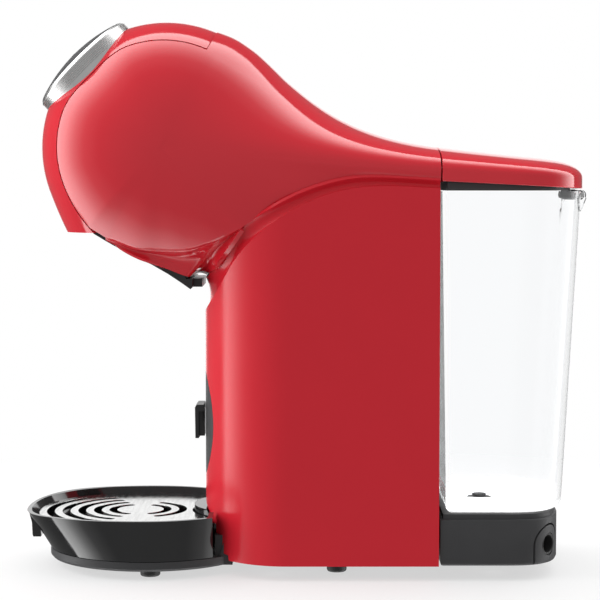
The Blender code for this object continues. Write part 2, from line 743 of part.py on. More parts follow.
def make_back_panel():
    """Closes the column and the tail towards the tank."""
    outline = [(-48.4, 36), (48.4, 36), (48.4, 190)]
    for k in range(1, 12):
        a = math.radians(180 * k / 12)
        share = math.sin(a) ** (2 / 2.4)
        half = 48.4 * abs(math.cos(a)) ** (2 / 2.4)
        outline.append((math.copysign(half, math.cos(a)), 199.0 + 10.4 * share))
    outline.append((-48.4, 190))
    return prism("column_back_panel", "Y", outline, 63.6, 66.1, paint("column_back_panel", DARK, 0.5))


def make_inner_frame():
    surface = paint("inner_frame", (0.16, 0.16, 0.17), 0.55)
    outline = [(-24, 157), (51, 157), (51, 26), (54, 26), (54, 160), (-24, 160)]
    frame = prism("inner_frame", "X", outline, -40, 40, surface)
    cradle = box("pump_cradle", (-12, 30, 119.8), (12, 52, 124.2))
    lower = box("pump_cradle_lower", (-12, 30, 63.3), (12, 52, 67.7))
    join(frame, cradle, lower)
    passes = [rod("hose_pass_rise", 5, 150, 170, None, (24, -26, 0), "Z", 16),
              rod("pump_clear", 15.5, 60, 130, None, (0, 18, 0), "Z", 24)]
    return cut(frame, *passes)


def make_lever_switch():
    """Tells the board that the visor is shut."""
    return box("lever_switch", (20, -60, 214.4), (26, -46, 222), paint("lever_switch", BLACK, 0.5))


# ---------------------------------------------------------------- base, feet, tray

def make_foot_plate():
    disc = rod("foot_plate", DISC_RADIUS, DISC_BOTTOM, DISC_TOP, paint("foot_plate", DARK, 0.5),
               (0, DISC_Y, 0), "Z", 56)
    outline = [(-46, -60), (46, -60), (HEEL_HALF, -44), (HEEL_HALF, HEEL_REAR), (-HEEL_HALF, HEEL_REAR),
               (-HEEL_HALF, -44)]
    heel = prism("foot_plate_heel", "Z", outline, DISC_BOTTOM, DISC_TOP)
    step = box("heel_step", (-HEEL_HALF, -44.2, DISC_BOTTOM), (HEEL_HALF, HEEL_REAR, 9.9))
    join(disc, heel, step)
    cut(disc, box("disc_rear_trim", (-60, HEEL_REAR, 0), (60, -10, 20)))
    riser = [(-42.0, 6.0), (-42.0, 19.6), (-35.9, 17.4), (-35.2, 6.0)]
    return join(disc, prism("riser_right", "X", riser, 43.0, HEEL_HALF),
                prism("riser_left", "X", riser, -HEEL_HALF, -43.0))


def make_bottom_covers():
    """Plates that close the column and the rear base from below."""
    surface = paint("bottom_cover", DARK, 0.55)
    low = COLUMN_BOTTOM + 0.4
    right = [(36, -33), (44, -22), (49.8, -6), (49.8, 65.8)]
    left = [(-x, y) for x, y in reversed(right)]
    prism("bottom_cover", "Z", right + left, low, low + 2.5, surface)
    prism("rear_cover", "Z", d_outline(49.0, 70.4, 96.0, 125.2, BASE_POWER), low, low + 2.5, surface)


FEET = (("front_left", -38, -76, 5.0, DISC_BOTTOM), ("front_right", 38, -76, 5.0, DISC_BOTTOM),
        ("middle_left", -27, 17, 5.0, COLUMN_BOTTOM + 0.1),
        ("middle_right", 27, 17, 5.0, COLUMN_BOTTOM + 0.1),
        ("rear", 0, 108, 9.0, COLUMN_BOTTOM + 0.1))


def make_feet():
    surface = paint("feet", BLACK, 0.8)
    made = []
    for tag, x, y, radius, top in FEET:
        profile = [(0, 0), (radius - 0.6, 0), (radius, 0.8), (radius, top - GAP), (0, top - GAP)]
        made.append(turned("foot_" + tag, profile, surface, (x, y, 0), 0, "Z", 24))
    return made


def make_screws():
    surface = paint("screws", STEEL, 0.35, 1.0)
    places = (("front_left", -34, -14), ("front_right", 34, -14), ("rear_left", -30, 96),
              ("rear_right", 30, 96))
    return [rod("base_screw_" + tag, 3.0, 5.6, 7.6, surface, (x, y, 0), "Z", 16) for tag, x, y in places]


def tray_outline(half, reach, power, rear):
    """Plan of the tray: a superellipse in front, a round behind, cut flat at the rear."""
    right = arc(0, DISC_Y, half, math.degrees(math.asin((rear - DISC_Y) / half)), 0, 5)
    for k in range(1, 17):
        a = math.pi / 2 * k / 16
        x = half * max(math.cos(a), 0.0) ** (2 / power)
        right.append((x, DISC_Y - reach * math.sin(a) ** (2 / power)))
    right[-1] = (0.0, right[-1][1])
    return right + [(-x, y) for x, y in reversed(right[:-1])]


def at_height(outline, z):
    return [(x, y, z) for x, y in outline]


def make_drip_tray():
    rim = tray_outline(TRAY_RIM_RADIUS, RIM_REACH, RIM_POWER, TRAY_REAR)
    foot = tray_outline(DISC_RADIUS, DISC_RADIUS, 2.0, TRAY_REAR)
    tray = loft("drip_tray", [at_height(foot, TRAY_BOTTOM), at_height(rim, TRAY_TOP)],
                paint("drip_tray", BLACK, 0.15))
    bowl = tray_bowl("tray_bowl", 0.1)
    cut(bowl, rod("tray_deck", 30, 0, 60, None, (0, DECK_Y, 0), "Z", 48))
    cut(tray, bowl)
    outline = [(-139.6, 26.0), (-138.8, 14.0), (-138.2, 12.8), (-130.0, 12.8), (-126, 20), (-134, 26)]
    tab = prism("tray_tab", "X", outline, -9, 9)
    room = [(-137.3, 19.0), (-137.0, 12.0), (-134.2, 12.0), (-134.8, 16.0)]
    join(tray, cut(tab, tray_bowl("tab_bowl", 0.1)))
    cut(tray, prism("tab_hollow", "X", room, -7.4, 7.4))
    heel = [(-49.6, 31.5), (-40, 31.5), (-40, 22.4), (-45.2, 22.4)]
    return cut(tray, prism("tray_heel_cut", "X", heel, -HEEL_CUT_HALF, HEEL_CUT_HALF))


def bowl_plans(wall, rear):
    """The tray's foot and rim plans inside a wall."""
    rim = tray_outline(TRAY_RIM_RADIUS - wall, RIM_REACH - wall, RIM_POWER, rear)
    foot = tray_outline(DISC_RADIUS - wall, DISC_RADIUS - wall, 2.0, rear)
    return foot, rim


def tray_bowl(name, above):
    """The room inside the tray, running a little above its rim."""
    foot, rim = bowl_plans(TRAY_WALL, TRAY_REAR - 2.4)
    return loft(name, [at_height(foot, TRAY_BOTTOM + TRAY_WALL), at_height(rim, TRAY_TOP + above)])


def make_drip_grid():
    low = 25.4
    foot, rim = bowl_plans(TRAY_WALL + 0.9, -49.5)
    share = (low - TRAY_BOTTOM - TRAY_WALL) / (TRAY_TOP - TRAY_BOTTOM - TRAY_WALL)
    outline = [(a + (c - a) * share, b + (d - b) * share) for (a, b), (c, d) in zip(foot, rim)]
    grid = prism("drip_grid", "Z", outline, low, low + 1.2, paint("drip_grid", STEEL, 0.22, 1.0))
    cut(grid, rod("grid_heel", 31.0, 0, 60, None, (0, DECK_Y, 0), "Z", 48))
    number = 0
    for radius in (14, 22, 30, 38, 46):
        spans = ((205, 335), (28, 152)) if radius < 40 else ((225, 315),)
        for start, end in spans:
            outer = arc(0, SLOT_Y, radius + SLOT_HALF, start, end, 9)
            inner = arc(0, SLOT_Y, radius - SLOT_HALF, end, start, 9)
            if max(y for _, y in outer) > -57:
                continue
            number += 1
            cut(grid, prism("grid_slot_%d" % number, "Z", outer + inner, 20, 30))
    return grid


# ---------------------------------------------------------------- tank, dock and rear base

def d_outline(half, front, middle, rear, power, steps=14):
    """Plan with a flat front, straight sides and a rounded rear, as (x, y)."""
    right = [(half, front), (half, (front + middle) / 2)]
    for k in range(steps + 1):
        a = math.pi / 2 * k / steps
        x = half * math.cos(a) ** (2 / power)
        right.append((x, middle + (rear - middle) * math.sin(a) ** (2 / power)))
    left = [(-x, y) for x, y in reversed(right[:-1])]
    return right + left


def make_rear_base():
    """Open box under the tank, with a lip that the tank drops over."""
    plan = d_outline(52.0, 67.3, 96.0, 128.5, BASE_POWER)
    step = d_outline(50.6, 68.4, 96.0, 127.2, BASE_POWER)
    body = loft("rear_base", [at_height(plan, COLUMN_BOTTOM), at_height(plan, 30.4)],
                paint("rear_base", DARK, 0.5))
    lip = loft("rear_base_lip", [at_height(step, 25), at_height(step, BASE_TOP)])
    room_plan = d_outline(49.4, 70.0, 96.0, 125.6, BASE_POWER)
    room = loft("rear_base_room", [at_height(room_plan, 0), at_height(room_plan, 28.2)])
    sump = rod("sump_opening", 18.2, 20, 40, None, (0, VALVE_Y, 0), "Z", 32)
    join(body, lip)
    cut(body, room, sump, rod("inlet_opening", 5.5, 60, 72, None, (-2.5, 0, 15), "Y", 16))
    return cut(body, cord_rod("cord_opening", 5.6, -8, 8))


def cord_turned(name, profile, surface=None, segments=24):
    """Pieces of the cord outlet, whose axis looks out of the rounded rear corner."""
    obj = turned(name, profile, surface, (0, 0, 0), 0, "X", segments)
    turn = Matrix.Rotation(math.radians(CORD_TURN), 4, "Z")
    place = Matrix.Translation(Vector(CORD_PLACE) * MM)
    obj.data.transform(place @ turn)
    return obj


def cord_rod(name, radius, low, high, surface=None):
    return cord_turned(name, [(0, low), (radius, low), (radius, high), (0, high)], surface)


def make_cord_gland():
    profile = [(CORD_BORE, -5.5), (5.2, -5.5), (5.2, 1.4), (4.8, 1.4), (CORD_BORE, -0.4)]
    return cord_turned("cord_gland", profile, paint("cord_gland", BLACK, 0.6))


def make_dock():
    surface = paint("tank_dock", DARK, 0.5)
    profile = [(0, 12.5), (15, 12.5), (15, 23.6), (8.6, 23.6), (8.6, 18.0), (1.6, 18.0), (1.2, 20.0),
               (0, 20.0)]
    dock = turned("tank_dock", profile, surface, (0, VALVE_Y, 0))
    rubber = paint("dock_seal", (0.5, 0.18, 0.08), 0.7)
    seal = ring("dock_seal", 9.4, 12.4, 23.9, 25.6, rubber, (0, VALVE_Y, 0))
    return dock, seal


def tank_solid(name, wall, floor, top, surface=None):
    """The tank's outside, or the room inside a wall."""
    half, front, middle, rear = TANK_FOOT_PLAN
    foot = d_outline(half - wall, front + wall, middle, rear - wall, TANK_POWER)
    half, front, middle, rear = TANK_RIM_PLAN
    rim = d_outline(half - wall, front + wall, middle, rear - wall, TANK_POWER)
    return loft(name, [at_height(foot, floor), at_height(rim, top)], surface)


def make_tank():
    tank = tank_solid("water_tank", 0, TANK_BOTTOM, TANK_TOP, paint("water_tank", CLEAR, 0.05))
    join(tank, rod("tank_sump", 16.2, 26.2, 40, None, (0, VALVE_Y, 0), "Z", 32))
    room = tank_solid("tank_room", TANK_WALL, TANK_BOTTOM + TANK_WALL, TANK_TOP + 0.5)
    sump_room = rod("tank_sump_room", 14.2, 28.2, 50, None, (0, VALVE_Y, 0), "Z", 32)
    valve_hole = rod("tank_valve_hole", 6.7, 20, 40, None, (0, VALVE_Y, 0), "Z", 24)
    lug = [(134.6, 176), (139.0, 182), (141.2, 187.5)]
    lug += arc(LID_HINGE_Y, LID_HINGE_Z, LUG_RADIUS, -20, 110, 5)
    lug.append((134.6, 190.8))
    for tag, x in (("left", -26), ("right", 22)):
        join(tank, prism("tank_lug_" + tag, "X", lug, x, x + 4))
    notch = box("tank_hinge_notch", (-20.6, 133, 185.8), (20.6, 143, 195))
    cut(tank, room, sump_room, valve_hole, notch)
    return cut(tank, rod("tank_lug_bore", 1.55, -30, 30, None, (0, LID_HINGE_Y, LID_HINGE_Z), "X", 16))


def make_valve():
    at = (0, VALVE_Y, 0)
    surface = paint("tank_valve_body", DARK, 0.5)
    profile = [(2.6, 21.6), (6.3, 21.6), (6.3, 28.6), (8.8, 28.6), (8.8, 30.0), (6.3, 30.0), (6.3, 33.4),
               (2.6, 33.4)]
    body = turned("tank_valve_body", profile, surface, at, 0, "Z", 24)
    profile = [(0, 20.6), (2.0, 20.6), (2.0, 33.8), (3.6, 33.8), (3.6, 35.0), (0, 35.0)]
    plunger = turned("valve_plunger", profile, paint("valve_plunger", DARK, 0.5), at, 0, "Z", 20)
    return body, plunger


LID_TOP_LINE = ((LID_FRONT, 213.2), (86.4, 210.9), (102.8, 209.2), (119.2, 207.8), (LID_REAR, 206.4))
LID_WIDE_LINE = ((LID_FRONT, 201.0), (LID_REAR, 197.0))
LID_BOTTOM_LINE = ((LID_FRONT, 195.9), (LID_REAR, 192.1))


def make_lid():
    outline = d_outline(TAIL_HALF, LID_FRONT, LID_ROUND_Y, LID_REAR, 2.5, 12)
    phis = [math.pi / 2 * k / 7 for k in range(8)]
    grid = []
    for x, y in outline:
        spine_y = min(y, LID_ROUND_Y + (y - LID_ROUND_Y) * 0.35)
        row = [(x, y, straight_line(LID_BOTTOM_LINE, y))]
        for phi in phis:
            out = math.cos(phi) ** (2 / 2.4)
            px = x * out
            py = spine_y + (y - spine_y) * out
            low = straight_line(LID_WIDE_LINE, py)
            high = smooth_line(LID_TOP_LINE, py)
            row.append((px, py, low + (high - low) * math.sin(phi) ** (2 / 2.4)))
        grid.append(row)
    shell = sheets("tank_lid", [grid], paint("tank_lid", RED, 0.28), (0, 100, 190))
    return thicken(shell, 2.0)


def make_lid_liner():
    plan = d_outline(50.6, LID_FRONT + 2.6, 101.0, 135.0, 2.6, 10)
    low = at_height(plan, TANK_TOP + GAP)
    high = [(x, y, straight_line(((60, 196.0), (140, 192.9)), y)) for x, y in plan]
    liner = loft("lid_liner", [low, high], paint("lid_liner", DARK, 0.5))
    outline = [(128, 191.8), (LID_HINGE_Y - 2, 191.8)]
    outline += arc(LID_HINGE_Y, LID_HINGE_Z, LUG_RADIUS, 140, -120, 8)
    outline += [(134.9, 187.4), (134.9, 191.4), (128, 191.4)]
    join(liner, prism("liner_lug", "X", outline, -20, 20))
    return cut(liner, rod("liner_lug_bore", 1.55, -30, 30, None, (0, LID_HINGE_Y, LID_HINGE_Z), "X", 16))


def make_lid_pin():
    return rod("lid_hinge_pin", 1.25, -27, 27, paint("lid_hinge_pin", STEEL, 0.3, 1.0),
               (0, LID_HINGE_Y, LID_HINGE_Z), "X", 16)


# ---------------------------------------------------------------- assembly

def clear_scene():
    for obj in list(bpy.data.objects):
        bpy.data.objects.remove(obj)


def main():
    clear_scene()
    make_head_shell()
    visor = make_visor()
    visor_frame = make_visor_frame()
    visor_liner = make_visor_liner()
    make_hinge_pins()
    dial_base, dial_ring, dome, display = make_dial()
    make_outlet_chassis()
    make_brew_frame()
    holder = make_capsule_holder()
    plate, needle, seal = make_injector()
    make_heater_and_pump()
    make_control_board()
    make_hoses()
    make_column()
    make_tray_hook()
    make_back_panel()
    make_inner_frame()
    make_lever_switch()
    make_foot_plate()
    make_bottom_covers()
    make_feet()
    make_screws()
    tray = make_drip_tray()
    grid = make_drip_grid()
    make_rear_base()
    make_cord_gland()
    make_dock()
    tank = make_tank()
    valve_body, plunger = make_valve()
    lid = make_lid()
    liner = make_lid_liner()
    pin = make_lid_pin()

    y, z = hinge_point()
    hang("visor_axis", (0, y, z), [visor, visor_frame, visor_liner, dial_base, display])
    hang("dial_axis", (0, HEAD_Y, HEAD_Z), [dial_ring, dome])
    hang("holder_axis", (0, -80, 189), [holder])
    hang("injector_axis", (0, -80, 199), [plate, needle, seal])
    hang("tray_axis", (0, DISC_Y, TRAY_BOTTOM), [tray])
    hang("grid_axis", (0, DISC_Y, 26), [grid])
    hang("tank_axis", (0, VALVE_Y, TANK_BOTTOM), [tank, valve_body, pin])
    hang("plunger_axis", (0, VALVE_Y, 28), [plunger])
    hang("lid_axis", (0, LID_HINGE_Y, LID_HINGE_Z), [lid, liner])


main()
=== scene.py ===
"""Looks of the pod coffee machine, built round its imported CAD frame.

Front faces -Y, the tank is at +Y, +Z is up. Lengths are in millimetres unless a name says otherwise.
"""

import json
import math

import bmesh
import bpy
from mathutils import Matrix, Vector


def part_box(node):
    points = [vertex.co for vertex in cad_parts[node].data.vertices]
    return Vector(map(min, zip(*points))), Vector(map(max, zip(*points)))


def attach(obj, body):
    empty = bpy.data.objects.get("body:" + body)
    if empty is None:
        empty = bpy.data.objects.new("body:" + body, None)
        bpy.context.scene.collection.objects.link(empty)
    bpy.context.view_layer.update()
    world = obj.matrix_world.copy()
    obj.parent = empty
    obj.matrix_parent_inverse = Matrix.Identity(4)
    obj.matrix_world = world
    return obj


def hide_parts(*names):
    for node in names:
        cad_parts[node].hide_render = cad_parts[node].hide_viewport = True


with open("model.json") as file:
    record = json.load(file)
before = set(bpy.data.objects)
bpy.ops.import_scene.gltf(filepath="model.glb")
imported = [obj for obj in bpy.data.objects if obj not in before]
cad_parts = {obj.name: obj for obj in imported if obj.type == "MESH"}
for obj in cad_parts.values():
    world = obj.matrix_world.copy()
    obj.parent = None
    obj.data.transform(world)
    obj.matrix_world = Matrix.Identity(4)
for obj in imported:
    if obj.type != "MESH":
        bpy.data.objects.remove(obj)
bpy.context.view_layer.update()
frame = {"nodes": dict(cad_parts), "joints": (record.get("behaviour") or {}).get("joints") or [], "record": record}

MM = 0.001
record = frame["record"]
joints = {j["name"]: j for j in frame["joints"]}
body_of = {n: b for b, members in record["behaviour"]["bodies"].items() for n in members}
slot_of = {s["node"]: s["material_slot"] for s in record["subparts"]}


def corners(node):
    """Lowest and highest corner of a CAD node in millimetres."""
    low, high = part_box(node)
    return low / MM, high / MM


def joint_place(name):
    return Vector(joints[name]["pos_m"]) / MM


# ---------------------------------------------------------------- mesh helpers

def new_object(name, data):
    made = bpy.data.objects.new(name, data)
    bpy.context.scene.collection.objects.link(made)
    return made


def add_object(name, points, faces, centre=None, sharp=35.0):
    """An object from points in millimetres; with a centre, open faces are turned away from it."""
    mesh = bpy.data.meshes.new(name)
    mesh.from_pydata([[c * MM for c in p] for p in points], [], faces)
    work = bmesh.new()
    work.from_mesh(mesh)
    bmesh.ops.remove_doubles(work, verts=work.verts, dist=0.00001)
    bmesh.ops.recalc_face_normals(work, faces=work.faces)
    if centre is not None:
        middle = Vector(centre) * MM
        outward = sum(f.normal.dot(f.calc_center_median() - middle) for f in work.faces)
        if outward < 0:
            bmesh.ops.reverse_faces(work, faces=work.faces)
    work.to_mesh(mesh)
    work.free()
    smooth(mesh, sharp)
    return new_object(name, mesh)


def smooth(mesh, sharp=35.0):
    mesh.shade_smooth()
    mesh.set_sharp_from_angle(angle=math.radians(sharp))


def loft(name, rings, sharp=35.0):
    """A closed solid through rings that all have the same number of points."""
    count = len(rings[0])
    points = [p for ring in rings for p in ring]
    faces = []
    for r in range(len(rings) - 1):
        for i in range(count):
            j = (i + 1) % count
            a = r * count
            b = a + count
            faces.append((a + i, a + j, b + j, b + i))
    faces.append(tuple(range(count)))
    faces.append(tuple(range((len(rings) - 1) * count, len(rings) * count)))
    return add_object(name, points, faces, None, sharp)


def along(axis, u, v, w):
    """A point with w along the named axis and (u, v) on the other two, in X, Y, Z order."""
    return {"X": (w, u, v), "Y": (u, w, v), "Z": (u, v, w)}[axis]


def prism(name, axis, outline, low, high):
    return loft(name, [[along(axis, u, v, w) for u, v in outline] for w in (low, high)])


def box(name, low, high):
    outline = [(low[0], low[1]), (high[0], low[1]), (high[0], high[1]), (low[0], high[1])]
    return prism(name, "Z", outline, low[2], high[2])


def turned(name, profile, at=(0, 0, 0), turn=None, segments=96, sharp=35.0):
    """A solid turned about Z, then turned and placed; profile is (radius, height)."""
    solid = profile[0][0] == 0
    turn = turn or Matrix.Identity(3)
    origin = Vector(at)
    points = []
    for radius, height in profile:
        for k in range(segments):
            a = math.tau * k / segments
            points.append(turn @ Vector((radius * math.cos(a), radius * math.sin(a), height)) + origin)
    faces = []
    for r in range(len(profile) - 1 if solid else len(profile)):
        a = r * segments
        b = ((r + 1) % len(profile)) * segments
        for k in range(segments):
            j = (k + 1) % segments
            faces.append((a + k, a + j, b + j, b + k))
    return add_object(name, points, faces, None, sharp)


def rod(name, radius, low, high, at=(0, 0, 0), turn=None, segments=64):
    return turned(name, [(0, low), (radius, low), (radius, high), (0, high)], at, turn, segments)


def sheets(name, grids, centre, sharp=35.0):
    """An open surface from grids of points."""
    points = []
    faces = []
    for grid in grids:
        width = len(grid[0])
        base = len(points)
        points += [p for row in grid for p in row]
        for r in range(len(grid) - 1):
            for i in range(width - 1):
                a = base + r * width + i
                faces.append((a, a + 1, a + width + 1, a + width))
    return add_object(name, points, faces, centre, sharp)


def mirrored(grid):
    return [[(-x, y, z) for x, y, z in row] for row in grid]


def boolean(obj, operation, others):
    for other in others:
        step = obj.modifiers.new(other.name, "BOOLEAN")
        step.operation = operation
        step.solver = "EXACT"
        step.object = other
    return obj


def cut(obj, *cutters):
    return boolean(obj, "DIFFERENCE", cutters)


def join(obj, *others):
    return boolean(obj, "UNION", others)


def thicken(obj, wall):
    """Gives an open surface a wall on the side away from its normals."""
    step = obj.modifiers.new("wall", "SOLIDIFY")
    step.thickness = wall * MM
    step.offset = -1.0
    step.use_even_offset = False
    return obj


def settle(obj, sharp=35.0):
    """Applies an object's modifiers and removes the objects that they used."""
    graph = bpy.context.evaluated_depsgraph_get()
    mesh = bpy.data.meshes.new_from_object(obj.evaluated_get(graph))
    used = [step.object for step in obj.modifiers if step.type == "BOOLEAN"]
    obj.modifiers.clear()
    obj.data = mesh
    smooth(mesh, sharp)
    for other in used:
        bpy.data.objects.remove(other)
    return obj


def soften(obj, radius, segments=3, angle=40.0):
    """Rounds the edges that turn more than an angle."""
    step = obj.modifiers.new("edge", "BEVEL")
    step.width = radius * MM
    step.segments = segments
    step.limit_method = "ANGLE"
    step.angle_limit = math.radians(angle)
    step.use_clamp_overlap = True
    step.harden_normals = True
    return obj


def show(obj, *nodes, slot=None):
    """Puts a finished piece in place of CAD nodes, with their body and material slot."""
    slot = slot or slot_of[nodes[0]]
    obj.data.materials.clear()
    obj.data.materials.append(surfaces[slot])
    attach(obj, body_of[nodes[0]])
    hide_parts(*nodes)
    return obj


def finish(obj, node, sharp, edge=None):
    """Applies a moulding's modifiers, rounds its edges and shows it in place of its CAD node."""
    settle(obj, sharp)
    if edge:
        soften(obj, *edge)
    return show(obj, node)


def arc(cx, cy, radius, start, end, count):
    """Points on an arc, angles in degrees."""
    made = []
    for k in range(count + 1):
        a = math.radians(start + (end - start) * k / count)
        made.append((cx + radius * math.cos(a), cy + radius * math.sin(a)))
    return made


def steps(low, high, count):
    return [low + (high - low) * k / count for k in range(count + 1)]


def bezier(a, b, c, d, s):
    weights = ((1 - s) ** 3, 3 * s * (1 - s) ** 2, 3 * s * s * (1 - s), s ** 3)
    return tuple(sum(w * p[i] for w, p in zip(weights, (a, b, c, d))) for i in range(len(a)))


def smooth_line(points, x):
    """Height of a smooth curve through points sorted by their first coordinate."""
    if x <= points[0][0]:
        return points[0][1]
    if x >= points[-1][0]:
        return points[-1][1]
    i = max(k for k in range(len(points) - 1) if points[k][0] <= x)

    def slope(k):
        lo = max(k - 1, 0)
        hi = min(k + 1, len(points) - 1)
        return (points[hi][1] - points[lo][1]) / (points[hi][0] - points[lo][0])

    (x0, y0), (x1, y1) = points[i], points[i + 1]
    s = (x - x0) / (x1 - x0)
    rise = (1 + 2 * s) * (1 - s) ** 2 * y0 + s * s * (3 - 2 * s) * y1
    lean = s * (1 - s) ** 2 * slope(i) - s * s * (1 - s) * slope(i + 1)
    return rise + (x1 - x0) * lean


def through(points, count):
    """A smooth curve through a few 3D points, as a list of count + 1 points."""
    made = []
    last = len(points) - 1
    for k in range(count + 1):
        t = last * k / count
        i = min(int(t), last - 1)
        s = t - i
        a, b = Vector(points[i]), Vector(points[i + 1])
        before = Vector(points[i - 1]) if i > 0 else a * 2 - b
        after = Vector(points[i + 2]) if i + 2 <= last else b * 2 - a
        lean_a = (b - before) / 2
        lean_b = (after - a) / 2
        made.append(a * (2 * s ** 3 - 3 * s * s + 1) + lean_a * (s ** 3 - 2 * s * s + s)
                    + b * (3 * s * s - 2 * s ** 3) + lean_b * (s ** 3 - s * s))
    return made


# ---------------------------------------------------------------- materials

def map_range(tree, value, low, high, new_low, new_high):
    """Carries a value from one range over to another, and holds it there."""
    node = tree.nodes.new("ShaderNodeMapRange")
    node.inputs["From Min"].default_value = low
    node.inputs["From Max"].default_value = high
    node.inputs["To Min"].default_value = new_low
    node.inputs["To Max"].default_value = new_high
    tree.links.new(value, node.inputs["Value"])
    return node.outputs["Result"]


def math_node(tree, operation, first, second):
    node = tree.nodes.new("ShaderNodeMath")
    node.operation = operation
    tree.links.new(first, node.inputs[0])
    tree.links.new(second, node.inputs[1])
    return node.outputs["Value"]


def split_xyz(tree, vector):
    node = tree.nodes.new("ShaderNodeSeparateXYZ")
    tree.links.new(vector, node.inputs["Vector"])
    return node.outputs


NOISE_MIDDLE = (0.3, 0.7)      # where nearly all values of a noise lie
FROST_AND_GLOW_TOP = 35.3               # height of the tank's frosted foot, which also gets a painted white glow
FROST_AND_GLOW_BLEND = 0.3
FROST_CLEAR = 0.1              # light that frosted plastic still lets straight through
# strength of the painted white glow in the tank's foot and on its upward-facing faces, standing in for reflected
# backdrop light
FOOT_PAINTED_GLOW = 0.6


class Recipe:
    """A Principled material with helpers that add procedural detail in object space."""

    def __init__(self, name, colour, roughness, metallic=0.0):
        self.name = name
        self.material = bpy.data.materials.new(name)
        self.material.use_nodes = True
        self.tree = self.material.node_tree
        self.shader = self.tree.nodes["Principled BSDF"]
        self.colour = colour
        self.set("Base Color", (*colour, 1.0))
        self.set("Roughness", roughness)
        self.set("Metallic", metallic)
        self.place = self.node("ShaderNodeTexCoord").outputs["Object"]
        self.bump = None
        self.roughness = roughness

    def set(self, socket, value):
        self.shader.inputs[socket].default_value = value
        return self

    def node(self, kind, **values):
        made = self.tree.nodes.new(kind)
        for key, value in values.items():
            setattr(made, key, value)
        return made

    def link(self, output, target):
        self.tree.links.new(output, target)

    def noise(self, size, detail=3.0, stretch=None):
        """Noise whose features are about size millimetres, stretched along the axes if asked."""
        made = self.node("ShaderNodeTexNoise")
        made.inputs["Scale"].default_value = 1.0 / (size * MM)
        made.inputs["Detail"].default_value = detail
        source = self.place
        if stretch:
            shaped = self.node("ShaderNodeMapping")
            shaped.inputs["Scale"].default_value = stretch
            self.link(self.place, shaped.inputs["Vector"])
            source = shaped.outputs["Vector"]
        self.link(source, made.inputs["Vector"])
        return made.outputs["Fac"]

    def spread(self, noise, low, high):
        return map_range(self.tree, noise, *NOISE_MIDDLE, low, high)

    def mottle(self, size, amount):
        """Varies the colour a little, lighter and darker."""
        mix = self.node("ShaderNodeMix", data_type="RGBA")
        self.link(self.spread(self.noise(size), 0.0, 1.0), mix.inputs["Factor"])
        mix.inputs["A"].default_value = (*[c * (1 - amount) for c in self.colour], 1.0)
        mix.inputs["B"].default_value = (*[min(c * (1 + amount), 1.0) for c in self.colour], 1.0)
        self.link(mix.outputs["Result"], self.shader.inputs["Base Color"])
        return self

    def smudge(self, size, amount, stretch=None):
        """Varies the roughness."""
        noise = self.noise(size, 4.0, stretch)
        value = self.spread(noise, self.roughness - amount, self.roughness + amount)
        self.link(value, self.shader.inputs["Roughness"])
        return self

    def frost_and_painted_glow(self):
        """Clear, but frosted in the foot and where a level face looks up, and there also given a painted white
        glow that stands in for the backdrop's light reflected in the tank.
        """
        tree = self.tree
        facing = split_xyz(tree, self.node("ShaderNodeTexCoord").outputs["Normal"])["Z"]
        height = split_xyz(tree, self.place)["Z"]
        level = map_range(tree, facing, 0.6, 0.8, 0.0, 1.0)
        foot = map_range(tree, height, FROST_AND_GLOW_TOP * MM, (FROST_AND_GLOW_TOP + FROST_AND_GLOW_BLEND) * MM, 1.0, 0.0)
        frost_and_glow = math_node(tree, "MAXIMUM", level, foot)
        clear = map_range(tree, frost_and_glow, 0.0, 1.0, 1.0, FROST_CLEAR)
        # painted white glow where the plastic is frosted, in place of reflected light
        glow = map_range(tree, frost_and_glow, 0.0, 1.0, 0.0, FOOT_PAINTED_GLOW)
        self.link(clear, self.shader.inputs["Transmission Weight"])
        self.link(glow, self.shader.inputs["Emission Strength"])
        return self.set("Emission Color", (1.0, 1.0, 1.0, 1.0))

    def grain(self, size, depth, detail=2.0, stretch=None):
        """Bumps about size millimetres across and depth millimetres deep."""
        bump = self.node("ShaderNodeBump")
        bump.inputs["Strength"].default_value = 1.0
        bump.inputs["Distance"].default_value = depth * MM
        self.link(self.noise(size, detail, stretch), bump.inputs["Height"])
        if self.bump:
            self.link(self.bump, bump.inputs["Normal"])
        self.bump = bump.outputs["Normal"]
        self.link(self.bump, self.shader.inputs["Normal"])
        return self


